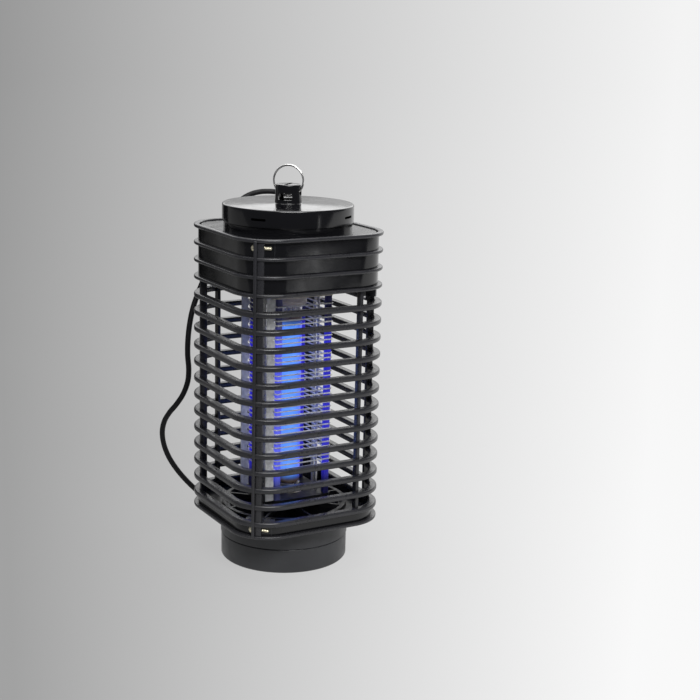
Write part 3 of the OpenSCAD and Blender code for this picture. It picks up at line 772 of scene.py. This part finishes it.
VENT_TURNS = (-53.5, 36.5, 126.5, 216.5)
LEAD_TURN, LEAD_Z = 55, CAP_Z + 6
HOLLOW_R, HOLLOW_LOW, HOLLOW_TOP = BOSS_R - 1.6, CAP_TOP + 1.4, BOSS_TOP - 1.8
HOLLOW_PROFILE = [(0, HOLLOW_LOW), (HOLLOW_R, HOLLOW_LOW), (HOLLOW_R, HOLLOW_TOP), (0, HOLLOW_TOP)]
hollow = turned("hollow", rounded(HOLLOW_PROFILE, (0, 0.4, 0.4, 0)), black_gloss, steps=96)
boss_cuts = [
    hollow,
    rod("eyes", 2.7, 24, (0, 0, HINGE_Z), 135),
    block("windows", (24, 10, 4.9), (0, 0, CAP_TOP + 5.05), 45, 0.6, black_gloss),
    block("top_slot", (14, 2.2, 4), (0, 0, BOSS_TOP - 1), 45, 0.5, black_gloss),
]
vent_cuts = [
    block("vent", (8, 10.8, 1.6), (CAP_R - 2, 0, CAP_Z + 5.4), turn - 90, 0.5, black_gloss)
    for turn in VENT_TURNS
]
lead_hole = rod("lead_hole", 3.2, 8, (CAP_R - 2, 0, LEAD_Z), LEAD_TURN)
cut(cap, *boss_cuts, *vent_cuts, lead_hole)
print("opened cap:", len(cap.data.polygons), "faces")

# %% [markdown]
# The ring is bent from springy wire, and its ends stand about a third of a millimetre apart. A torus would
# have no ends, so it is swept along an open path by the same tree as the grid. It swings with its own body.
# %% Hanging ring
HANG_R, HANG_WIRE = 10.5, 1.4


def wire_ring(name, steps=96, gap=2.0):
    across = Vector((math.cos(math.radians(135)), math.sin(math.radians(135)), 0))
    ring_low, ring_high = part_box("hanging_ring")
    middle = Vector((0, 0, (ring_low.z + ring_high.z) / 2))
    points = []
    for k in range(steps + 1):
        angle = math.radians(-90 + gap / 2 + (360 - gap) * k / steps)
        points.append(middle + (across * math.cos(angle) + UP * math.sin(angle)) * HANG_R * MM)
    source = mesh_piece(name, points, [], edges=[(i, i + 1) for i in range(steps)])
    wire = HANG_WIRE * MM
    return grown(
        name, source, STACK, Depth=wire, Height=wire, Edge_radius=wire / 2, Count=1, Pitch=(0.0, 0.0, 0.0),
        Material=nickel,
    )


ring_wire = wire_ring("ring_wire")
print("ring:", len(ring_wire.data.polygons), "faces")

# %% [markdown]
# ## Tray, pan and collar
# The tray catches the dead insects and twists off to be emptied. It and the collar above it are satin grey
# plastic, a shade lighter than the cage, with a hairline between them. Both are round, so they are turned.
# Three lugs inside the tray hook over those on the pan's skirt, and the second tree sets them round.
# %% Tray
TRAY_R, TRAY_H, TRAY_WALL, LUG_Z = 44.8, 17.0, 2.0, 10.0
TRAY_PROFILE = [
    (0, 0), (TRAY_R - 1, 0), (TRAY_R, 1), (TRAY_R, TRAY_H), (TRAY_R - TRAY_WALL, TRAY_H),
    (TRAY_R - TRAY_WALL, 2), (0, 2),
]
tray_body = turned("tray_body", rounded(TRAY_PROFILE, (0, 0.5, 0.5, 0.6, 0.5, 1.5, 0)), tray_grey, steps=160)


def threefold(name, lug):
    """The lug at three places round the axis."""
    third = math.radians(120)
    return grown(name, lug, REPEAT, Along=1, Around=3, Turn=third, Material=tray_grey)


tray_lug = arc_block("tray_lug", 41.3, 43.8, LUG_Z + 3, LUG_Z + 5, 0, 24, tray_grey)
tray_lugs = threefold("tray_lugs", tray_lug)
tray = joined("tray", [tray_body, tray_lugs])
drop(tray_body, tray_lugs)
print("tray:", len(tray.data.polygons), "faces")

# %% [markdown]
# The pan closes the cage from below. Its plate is square outside and round inside, and two upright sleeves
# hang from it: the collar that shows, and the skirt that holds the tray and stops its turn.
# %% Pan with collar and skirt
PAN_Z, SKIRT_R = FOOT_Z + 2, 40.8
COLLAR_LOW = TRAY_H + 0.6


def sleeve_wall(name, outer, low, high, steps):
    """An upright round wall, 2 mm thick, with eased rims."""
    profile = [(outer, low), (outer, high), (outer - 2, high), (outer - 2, low)]
    return turned(name, rounded(profile, (0.4, 0.2, 0.2, 0.4)), tray_grey, steps=steps)


pan_parts = [
    plate("pan_plate", 49.9, 22.4, SKIRT_R - 2, PAN_Z, PAN_Z + 2.2, 0, 360, tray_grey, 192),
    sleeve_wall("collar", CAP_R, COLLAR_LOW, PAN_Z, 160),
    sleeve_wall("skirt", SKIRT_R, LUG_Z - 1, PAN_Z, 128),
]
skirt_lug = arc_block("skirt_lug", SKIRT_R - 1, 42.2, LUG_Z, LUG_Z + 2, -1.2, 26.4, tray_grey)
pan_parts.append(threefold("skirt_lugs", skirt_lug))
stop = arc_block("stop", SKIRT_R - 1, 42.2, LUG_Z + 1, LUG_Z + 4.6, -13.6, 1.6, tray_grey)
pan_parts.append(threefold("stops", stop))
pan = joined("pan", pan_parts)
drop(*pan_parts)
print("pan:", len(pan.data.polygons), "faces")

# %% [markdown]
# ## Grid and posts
# Thirty-eight wire loops of alternating polarity pass round four insulating posts. They could be one long
# winding, but two stacks, each at twice the pitch, keep the two polarities as the separate sets they are.
# %% Wire loops
LAMP_X, POST_HALF, POST_SIZE = 3.0, 19.2, 4.0
WIRE_D, WIRE_PITCH, WIRE_Z, WIRE_PAIRS = 1.0, 3.2, 66.0, 19
WIRE_HALF = POST_HALF + POST_SIZE / 2 + WIRE_D / 2


def wire_loops(name, low, bend=1.5, steps=6):
    points = []
    for q in range(4):
        for k in range(steps + 1):
            angle = math.radians(90 * q + 90 * k / steps)
            side = math.radians(90 * q + 45)
            cx = (WIRE_HALF - bend) * math.sqrt(2) * math.cos(side) + bend * math.cos(angle)
            cy = (WIRE_HALF - bend) * math.sqrt(2) * math.sin(side) + bend * math.sin(angle)
            points.append(((LAMP_X + cx) * MM, cy * MM, low * MM))
    count = len(points)
    source = mesh_piece(name, points, [], edges=[(i, (i + 1) % count) for i in range(count)])
    wire, pitch = WIRE_D * MM, 2 * WIRE_PITCH * MM
    return grown(
        name, source, STACK, Depth=wire, Height=wire, Edge_radius=wire / 2, Count=WIRE_PAIRS,
        Pitch=(0.0, 0.0, pitch), Material=galvanised,
    )


live = wire_loops("live_loops", WIRE_Z)
neutral = wire_loops("neutral_loops", WIRE_Z + WIRE_PITCH)
print("loops:", len(live.data.polygons) + len(neutral.data.polygons), "faces")

# %% [markdown]
# ## Lamp
# The tube glows evenly along its length, azure where the glass is seen square on and violet where it is
# seen edge on, because the phosphor is thin there. Near its ends the glow dies away and the glass is grey
# with a brown tint from the electrodes. Layer Weight gives the change towards the edge in every view.
# %% Helper: the lamp's light, fading towards its ends
LAMP_TOP, TUBE_LEN, CAP_LEN, TUBE_R, SOCKET_R = 181.5, 136.0, 7.0, 8.0, 11.3


def lamp_fade(material, strength, start, end):
    """Full strength at the lamp's middle, fading between two distances in mm from the ends of its glass."""
    links = material.node_tree.links
    coords = wire_up(material, "ShaderNodeTexCoord")
    axes = wire_up(material, "ShaderNodeSeparateXYZ")
    links.new(coords.outputs["Object"], axes.inputs["Vector"])
    off = wire_up(material, "ShaderNodeMath")
    off.operation = "SUBTRACT"
    off.inputs[1].default_value = (LAMP_TOP - TUBE_LEN / 2) * MM
    links.new(axes.outputs["Z"], off.inputs[0])
    away = wire_up(material, "ShaderNodeMath")
    away.operation = "ABSOLUTE"
    links.new(off.outputs["Value"], away.inputs[0])
    fade = wire_up(material, "ShaderNodeMapRange")
    fade.interpolation_type = "SMOOTHSTEP"
    fade.inputs["From Min"].default_value = (TUBE_LEN / 2 - CAP_LEN - start) * MM
    fade.inputs["From Max"].default_value = (TUBE_LEN / 2 - CAP_LEN - end) * MM
    fade.inputs["To Min"].default_value = strength
    fade.inputs["To Max"].default_value = 0.0
    links.new(away.outputs["Value"], fade.inputs["Value"])
    return fade.outputs["Result"]


print("the lamp's light can fade")

# %% [markdown]
# The glass and the posts then share that fade, so the light ends at the same height on both. The posts
# could be lit by the tube alone, but its glow is too weak for that, so the tube's light on them is painted:
# they carry their share themselves as a glow, though they are no lamps.
# %% Finishes that glow: the lamp's own, and the posts' painted glow


def glowing_glass():
    material = bpy.data.materials.new("glowing_glass")
    material.use_nodes = True
    links = material.node_tree.links
    surface = material.node_tree.nodes["Principled BSDF"]
    surface.inputs["Roughness"].default_value = 0.12
    weight = wire_up(material, "ShaderNodeLayerWeight")
    weight.inputs["Blend"].default_value = 0.35
    glow = ramp(material, weight.outputs["Facing"], (0.09, 0.29, 1.0), (0.03, 0.02, 0.9), 0.05, 0.7)
    links.new(glow, surface.inputs["Emission Color"])
    fade = lamp_fade(material, 1.0, 10, 2)
    links.new(fade, surface.inputs["Emission Strength"])
    glass = ramp(material, fade, (0.30, 0.22, 0.16), (0.12, 0.16, 0.30), 0.0, 0.3)
    links.new(glass, surface.inputs["Base Color"])
    return material


# Painted light: a post's emission stands in for the tube's light on it, and fades as the tube's glow does.
def post_with_painted_glow(name, colour, glow, strength):
    material = finish(name, colour, (0.3, 0.45), broad=90, fine=1600)
    surface = material.node_tree.nodes["Principled BSDF"]
    surface.inputs["Emission Color"].default_value = (*glow, 1)
    material.node_tree.links.new(lamp_fade(material, strength, 16, 2), surface.inputs["Emission Strength"])
    return material


print("glowing finishes can be made")

# %% [markdown]
# The tube is a closed shell with drawn-in ends, turned from one profile. Only its outside can be seen,
# because the phosphor is opaque, so it needs no inner wall.
# %% Glass
lamp_glass = glowing_glass()
tube_low, tube_high = LAMP_TOP - TUBE_LEN + CAP_LEN, LAMP_TOP - CAP_LEN
TUBE_PROFILE = [
    (0, tube_low), (6.4, tube_low), (TUBE_R, tube_low + 1.6),
    (TUBE_R, tube_high - 1.6), (6.4, tube_high), (0, tube_high),
]
tube = turned("tube", rounded(TUBE_PROFILE, (0, 0.8, 1.2, 1.2, 0.8, 0)), lamp_glass, (LAMP_X, 0), 64)
print("tube:", len(tube.data.polygons), "faces")

# %% [markdown]
# The metal cap at each end is mirrored by a sign, and so is the ivory holder that it stands in. That keeps
# both ends of the lamp the same without turning a mesh inside out.
# %% Tube caps and sockets


def tube_end(name, face, glass_side):
    """A pressed cap with a rolled bead; glass_side is +1 when the glass is above it."""
    s = glass_side
    profile = [
        (0, face), (6.6, face), (TUBE_R, face + s * 0.8), (TUBE_R, face + s * 4.6),
        (TUBE_R - 0.35, face + s * 5.2), (TUBE_R, face + s * 5.8), (TUBE_R, face + s * CAP_LEN),
        (0, face + s * CAP_LEN),
    ]
    outline = rounded(profile, (0, 0.4, 0.7, 0.3, 0.3, 0.3, 0.3, 0))
    return turned(name, outline, pressed_alloy, (LAMP_X, 0), 64)


end_top = tube_end("end_top", LAMP_TOP, -1)
end_low = tube_end("end_low", LAMP_TOP - TUBE_LEN, 1)


def socket(name, face, base, glass_side):
    """A round lamp holder with a stepped rim round the face that the tube stands on."""
    s = glass_side
    profile = [
        (0, face), (8.6, face), (9.2, face - s * 0.8), (SOCKET_R, face - s * 0.8),
        (SOCKET_R, face - s * 2.8), (SOCKET_R - 0.4, face - s * 3.2), (SOCKET_R, face - s * 3.6),
        (SOCKET_R, base), (0, base),
    ]
    outline = rounded(profile, (0, 0.3, 0.2, 0.5, 0.2, 0.2, 0.2, 0.3, 0))
    return turned(name, outline, ivory, (LAMP_X, 0), 64)


socket_top = socket("socket_top", LAMP_TOP, LEDGE_Z, -1)
socket_low = socket("socket_low", LAMP_TOP - TUBE_LEN, PAN_Z + 2.2, 1)
print("lamp ends:", len(end_top.data.polygons), "faces; sockets:", len(socket_top.data.polygons))

# %% [markdown]
# The posts come after the lamp's light, because they carry a painted share of it: the three beside and
# behind the tube are a deep blue with a painted glow, and the near one, which stands in front of it, is
# painted brighter.
# %% Posts


def plain_post(node):
    low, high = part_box(node)
    size = [(b - a) / MM for a, b in zip(low, high)]
    material = post_bright if node == "post_near" else post_blue
    middle = [(a + b) / 2 / MM for a, b in zip(low, high)]
    return block(node + "_bar", size, middle, edge=0.5, material=material)


# Painted light: the posts' blue glow, and the near post's lighter colour and stronger glow, stand in for the
# tube's light.
post_blue = post_with_painted_glow("post_blue", (0.03, 0.03, 0.16), (0.02, 0.015, 0.60), 0.7)
post_bright = post_with_painted_glow("post_bright", (0.12, 0.13, 0.34), (0.07, 0.09, 0.85), 0.75)
posts = {node: plain_post(node) for node in ("post_near", "post_right", "post_far", "post_left")}
print("post:", len(posts["post_near"].data.polygons), "faces")

# %% [markdown]
# ## Screws
# The halves are drawn together by four self-tapping screws. A helix would give a truer thread, but at this
# size rings look the same and cost far fewer faces. One screw is turned with its thread, a cross is cut in
# its head, and the tree puts it at both heights of both corners.
# %% Cage screws
SCREW_AT, SCREW_ZS = 63.6, (FOOT_Z + 6, PLATE_Z - 6)


def cage_screw():
    profile = [(0, -2.2), (1.7, -2.1), (2.5, -1.2), (2.5, 0.0), (1.05, 0.0)]
    length, pitch = THIN + THICK + 4.9, 1.1
    for k in range(int(length / pitch)):
        profile += [(1.05, 0.1 + k * pitch), (1.3, 0.1 + (k + 0.4) * pitch), (1.05, 0.1 + (k + 0.8) * pitch)]
    profile += [(1.0, length - 0.3), (0.5, length), (0, length)]
    piece = turned("screw", profile, plated_brass, steps=24)
    slots = [block("slot", (3.0, 0.55, 1.2), (0, 0, -2.1), turn, 0.1, plated_brass) for turn in (0, 90)]
    cut(piece, *slots)
    place = Matrix.Translation((SCREW_AT * MM, -THIN * MM, SCREW_ZS[0] * MM))
    lay = Matrix.Rotation(math.radians(225), 4, "Z") @ place
    piece.data.transform(lay @ Matrix.Rotation(math.radians(-90), 4, "X"))
    return piece


screws = grown(
    "cage_screw_set", cage_screw(), REPEAT, Along=2, Pitch=(0.0, 0.0, (SCREW_ZS[1] - SCREW_ZS[0]) * MM),
    Around=2, Turn=math.pi, Material=plated_brass,
)
print("screws:", len(screws.data.polygons), "faces")

# %% [markdown]
# ## Strain relief and plug
# The strain relief is a tapered rubber sleeve with rings moulded round it, so that it bends with the lead.
# The plug is a flat moulding that widens towards its two pins, with grip ribs on its upper face.
# %% Strain relief
RELIEF_LEN = 20.0


def relief():
    start = CAP_R
    profile = [
        (2.0, start - 7), (3.8, start - 7), (3.8, start - 5), (3.1, start - 5), (3.1, start), (4.0, start)
    ]
    for k in range(6):
        at = start + 2 + 2.8 * k
        wide = 4.0 - 1.3 * (2 + 2.8 * k) / RELIEF_LEN
        profile += [(wide, at), (wide - 0.6, at + 0.3), (wide - 0.6, at + 1.0), (wide - 0.1, at + 1.3)]
    profile += [(2.7, start + RELIEF_LEN), (2.0, start + RELIEF_LEN)]
    piece = turned("relief", rounded(profile, [0.15] * len(profile), 3), cord_black, steps=40)
    lay = Matrix.Rotation(math.radians(LEAD_TURN), 4, "Z") @ Matrix.Translation((0, 0, LEAD_Z * MM))
    piece.data.transform(lay @ Matrix.Rotation(math.radians(90), 4, "Y"))
    return finish_mesh(piece)


strain_relief = relief()
print("strain relief:", len(strain_relief.data.polygons), "faces")

# %% [markdown]
# The plug's outline is drawn once and lifted, and then its edges are rounded, as the mould would. The
# second tree repeats one block in a row of six for the grip ribs.
# %% Plug
PLUG_X, PLUG_Y, PLUG_LEN, PLUG_Z = 72.0, 70.0, 32.0, 7.0


def plug_shell():
    half = [(6, 0), (12, 7), (16.6, 17), (17.6, 24), (17.6, PLUG_LEN)]
    outline = half + [(-x, y) for x, y in reversed(half)]
    data = bmesh.new()
    low = [data.verts.new(((PLUG_X + x) * MM, (PLUG_Y + y) * MM, 0)) for x, y in outline]
    face = data.faces.new(low)
    lifted = bmesh.ops.extrude_face_region(data, geom=[face])["geom"]
    top = [v for v in lifted if isinstance(v, bmesh.types.BMVert)]
    bmesh.ops.translate(data, vec=(0, 0, (2 * PLUG_Z - 0.2) * MM), verts=top)
    flat = [e for e in data.edges if abs(e.verts[0].co.z - e.verts[1].co.z) < 1e-6]
    bmesh.ops.bevel(data, geom=flat, offset=2.6 * MM, segments=5, profile=0.5, affect="EDGES")
    mesh = bpy.data.meshes.new("plug_shell")
    data.to_mesh(mesh)
    data.free()
    shell = bpy.data.objects.new("plug_shell", mesh)
    bpy.context.scene.collection.objects.link(shell)
    return finish_mesh(shell, cord_black, 40)


shell = plug_shell()
rib = block("rib", (16, 1.2, 14.4), (PLUG_X, PLUG_Y + 8, PLUG_Z + 0.2), edge=0.5, material=cord_black)
rib_pitch = (0.0, 2.4 * MM, 0.0)
ribs = grown("plug_ribs", rib, REPEAT, Along=6, Pitch=rib_pitch, Around=1, Turn=0.0, Material=cord_black)
plug = joined("plug_moulding", [shell, ribs])
drop(shell, ribs)


print("plug:", len(plug.data.polygons), "faces")

# %% [markdown]
# The sleeve's three rings widen towards the plug, so that the lead bends gently where it goes in.
# %% Sleeve and pins


def along_y(name, profile, material, x, steps=40):
    """A turned part laid along +Y; the profile's heights are distances from the plug's back."""
    piece = turned(name, profile, material, steps=steps)
    place = Matrix.Translation((x * MM, 0, PLUG_Z * MM))
    piece.data.transform(place @ Matrix.Rotation(math.radians(-90), 4, "X"))
    return finish_mesh(piece)


sleeve_profile = [(2.0, 60), (2.8, 60)]
for k in range(3):
    wider, on = 0.62 * k, 2.8 * k
    sleeve_profile += [(3.1 + wider, 61.5 + on), (2.6 + wider, 61.8 + on), (2.7 + wider, 62.6 + on)]
sleeve_profile += [(5.0, 70), (2.0, 70)]
sleeve = along_y("plug_sleeve_ribbed", sleeve_profile, cord_black, PLUG_X)
pin_profile = [(0, 101), (2.0, 101), (2.0, 119.2), (1.7, 120.5), (0.9, 121), (0, 121)]
pins = [along_y("pin", pin_profile, nickel, PLUG_X + s * 9.5, 32) for s in (-1, 1)]
pin_pair = joined("plug_pin_pair", pins)
drop(*pins)
print("sleeve:", len(sleeve.data.polygons), "faces; pins:", len(pin_pair.data.polygons))

# %% [markdown]
# ## Finishes on the nodes that stay
# The frame's own meshes already have the right shape for the flat and hidden pieces. They could be built
# again, but nothing would change except their edges, so they only get their finish.
# %% Finishes for carried-over nodes
KEPT = {
    inner_black: ["housing_floor", "grid_bottom_frame", "spider_frame"],
    zinc_steel: ["floor_screws", "board_screws", "tube_pins", "tie_rods"],
    ivory: ["terminal_block", "grid_top_frame"],
    strip_zinc: ["live_bus", "neutral_bus"],
    laminate: ["circuit_board"],
    dipped_film: ["capacitors"],
    black_epoxy: ["diodes"],
    ferrite_grey: ["choke_core"],
    copper_wire: ["choke_winding"],
    silicone: ["lead_wires"],
}
for material, names in KEPT.items():
    for name in names:
        nodes[name].data.materials.clear()
        nodes[name].data.materials.append(material)
print("kept nodes:", sum(len(names) for names in KEPT.values()))

# %% [markdown]
# ## What each piece rides on and stands for
# The frame has three bodies: the lantern, the ring that swings in the boss, and the tray that twists off.
# Each new piece rides on one of them and hides the plain node that it stands for. The table also names a
# finish slot from the record for each piece, which nothing here applies.
# %% Bodies, slots and replaced nodes
PIECES = [
    (cage_left, "lantern", "black_gloss", ["cage_half_left"]),
    (cage_right, "lantern", "black_gloss", ["cage_half_right"]),
    (cap, "lantern", "black_gloss", ["top_cap"]),
    (ring_wire, "hanging_ring", "ring_chrome", ["hanging_ring"]),
    (tray, "catch_tray", "tray_plastic", ["catch_tray"]),
    (pan, "lantern", "tray_plastic", ["bottom_pan"]),
    (live, "lantern", "grid_wire", ["live_wires"]),
    (neutral, "lantern", "grid_wire", ["neutral_wires"]),
    (tube, "lantern", "uv_glass", ["uv_tube"]),
    (end_top, "lantern", "tube_end", ["tube_cap_top"]),
    (end_low, "lantern", "tube_end", ["tube_cap_bottom"]),
    (socket_top, "lantern", "ivory_plastic", ["lamp_socket_top"]),
    (socket_low, "lantern", "ivory_plastic", ["lamp_socket_bottom"]),
    (screws, "lantern", "brass_plate", ["cage_screws"]),
    (strain_relief, "lantern", "cord_rubber", ["cord_grommet"]),
    (lead, "lantern", "cord_rubber", ["mains_cord", "cord_coil", "plug_lead"]),
    (sleeve, "lantern", "cord_rubber", ["plug_sleeve"]),
    (plug, "lantern", "cord_rubber", ["plug_body"]),
    (pin_pair, "lantern", "ring_chrome", ["plug_pins"]),
]
PIECES += [(post, "lantern", "post_plastic", [node]) for node, post in posts.items()]
for piece, body, slot_name, stands_for in PIECES:
    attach(piece, body)
    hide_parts(*stands_for)
print("pieces:", len(PIECES))

# %% [markdown]
# ## Stage and lights
# A pale sweep of paper runs under the zapper and up behind it. Its grey is painted light: it opens like a
# fan from where the camera stands, dark at the left and nearly white at the right, and most of it is the
# paper's own glow, so that the zapper leaves only a faint shadow. The paper ends just in front, because
# glossy black shows only
# what it mirrors: the upright walls look past it into the dark room and stay black, while the cap's top
# and the upper edges of the fins catch the large soft light behind.
# %% Paper with its painted light
FAN_LEFT, FAN_RIGHT = -0.25, 0.22
# Greys of the painted light at the fan's left and right edges.
PAINTED_LIGHT_LEFT, PAINTED_LIGHT_RIGHT = 0.32, 0.97
OWN_LIGHT = 0.9


def math_node(material, operation, first, second):
    node = wire_up(material, "ShaderNodeMath")
    node.operation = operation
    for socket, value in zip(node.inputs, (first, second)):
        if isinstance(value, float):
            socket.default_value = value
        else:
            material.node_tree.links.new(value, socket)
    return node.outputs["Value"]


def paper_with_painted_light():
    material = bpy.data.materials.new("paper")
    material.use_nodes = True
    links = material.node_tree.links
    surface = material.node_tree.nodes["Principled BSDF"]
    surface.inputs["Roughness"].default_value = 0.9
    surface.inputs["Specular IOR Level"].default_value = 0.0
    coords = wire_up(material, "ShaderNodeTexCoord")
    axes = wire_up(material, "ShaderNodeSeparateXYZ")
    links.new(coords.outputs["Object"], axes.inputs["Vector"])
    east = math_node(material, "SUBTRACT", axes.outputs["X"], CAMERA_PLACE[0])
    north = math_node(material, "SUBTRACT", axes.outputs["Y"], CAMERA_PLACE[1])
    heading = math_node(material, "ARCTAN2", east, north)
    fan = math_node(material, "SUBTRACT", heading, -CAMERA_SIDE + CAMERA_TURN)
    spread = wire_up(material, "ShaderNodeMapRange")
    spread.inputs["From Min"].default_value = FAN_LEFT
    spread.inputs["From Max"].default_value = FAN_RIGHT
    links.new(fan, spread.inputs["Value"])
    # Painted light: the paper's grey, dark at the left and nearly white at the right, goes into its own
    # glow.
    painted_light = ramp(material, spread.outputs["Result"], (PAINTED_LIGHT_LEFT,) * 3, (PAINTED_LIGHT_RIGHT,) * 3, 0.0, 1.0)
    links.new(painted_light, surface.inputs["Emission Color"])
    surface.inputs["Emission Strength"].default_value = OWN_LIGHT
    surface.inputs["Base Color"].default_value = (0.05, 0.05, 0.05, 1)
    return material


print("paper can be shaded")

# %% [markdown]
# The sheet is one strip of quads: flat on the table, a quarter round behind, and then upright. A dark card
# stands behind the zapper's left side, where its gloss mirrors it, and the camera doesn't see it.
# %% Paper sweep and card


def paper_sweep(width=8.0, front=-0.36, wall=2.2, bend=1.0, top=4.0, steps=24):
    profile = [(front, 0.0), (wall - bend, 0.0)]
    for k in range(1, steps + 1):
        angle = math.radians(90 * k / steps)
        profile.append((wall - bend + bend * math.sin(angle), bend - bend * math.cos(angle)))
    profile.append((wall, top))
    points, faces = [], []
    for depth, height in profile:
        for side in (-width / 2, width / 2):
            points.append(AWAY * depth + RIGHT * side + UP * (height - 0.0002))
    for k in range(len(profile) - 1):
        faces.append((2 * k, 2 * k + 1, 2 * k + 3, 2 * k + 2))
    data = bpy.data.meshes.new("paper_sweep")
    data.from_pydata([tuple(p) for p in points], [], faces)
    data.shade_smooth()
    data.materials.append(paper_with_painted_light())
    sweep = bpy.data.objects.new("paper_sweep", data)
    bpy.context.scene.collection.objects.link(sweep)
    return sweep


def dark_card(name, x, y, z):
    """A black card behind the zapper's left side, mirrored but not seen; each range is in metres."""
    points = [(x[0], y, z[0]), (x[1], y, z[0]), (x[1], y, z[1]), (x[0], y, z[1])]
    card = mesh_piece(name, points, [(0, 1, 2, 3)], cord_black)
    card.visible_camera = False
    return card


paper_sweep()
dark_card("dark_card", (-0.37, -0.03), 0.7, (0.0, 0.4))
print("stage ready")

# %% [markdown]
# The lights are all soft boxes, since a bare lamp would put hard dots on black gloss. Each one aims at the
# middle of the cage, and the two thin ones at the side are there for a narrow upright gleam on its walls.
# %% Lights


CAGE_MIDDLE = Vector((0, 0, 0.13))


def soft_light(name, place, size, power):
    data = bpy.data.lights.new(name, "AREA")
    data.shape = "RECTANGLE"
    data.size, data.size_y = size
    data.energy = power
    light = bpy.data.objects.new(name, data)
    bpy.context.scene.collection.objects.link(light)
    light.location = place
    light.rotation_euler = (CAGE_MIDDLE - Vector(place)).to_track_quat("-Z", "Y").to_euler()
    return light


soft_light("overhead", (0.0, 0.1, 1.5), (1.2, 1.2), 16)
soft_light("back_box", AWAY * 1.5 + UP * 0.95, (2.2, 0.9), 9)
soft_light("front_box", AWAY * -1.1 + RIGHT * 0.2 + UP * 1.1, (0.9, 0.4), 19)
soft_light("low_box", AWAY * -1.2 + RIGHT * 0.1 - UP * 0.55, (1.4, 0.25), 1.0)
soft_light("side_strip", (0.60, -1.2, -0.1), (0.03, 0.5), 0.12)
soft_light("side_glow", (0.66, -1.25, -0.1), (0.07, 0.5), 0.06)
world = bpy.data.worlds.new("studio")
world.use_nodes = True
world.node_tree.nodes["Background"].inputs["Color"].default_value = (0.9, 0.92, 1.0, 1)
world.node_tree.nodes["Background"].inputs["Strength"].default_value = 0.12
bpy.context.scene.world = world
bpy.context.scene.view_settings.view_transform = "Standard"
print("lights:", len(bpy.data.lights))
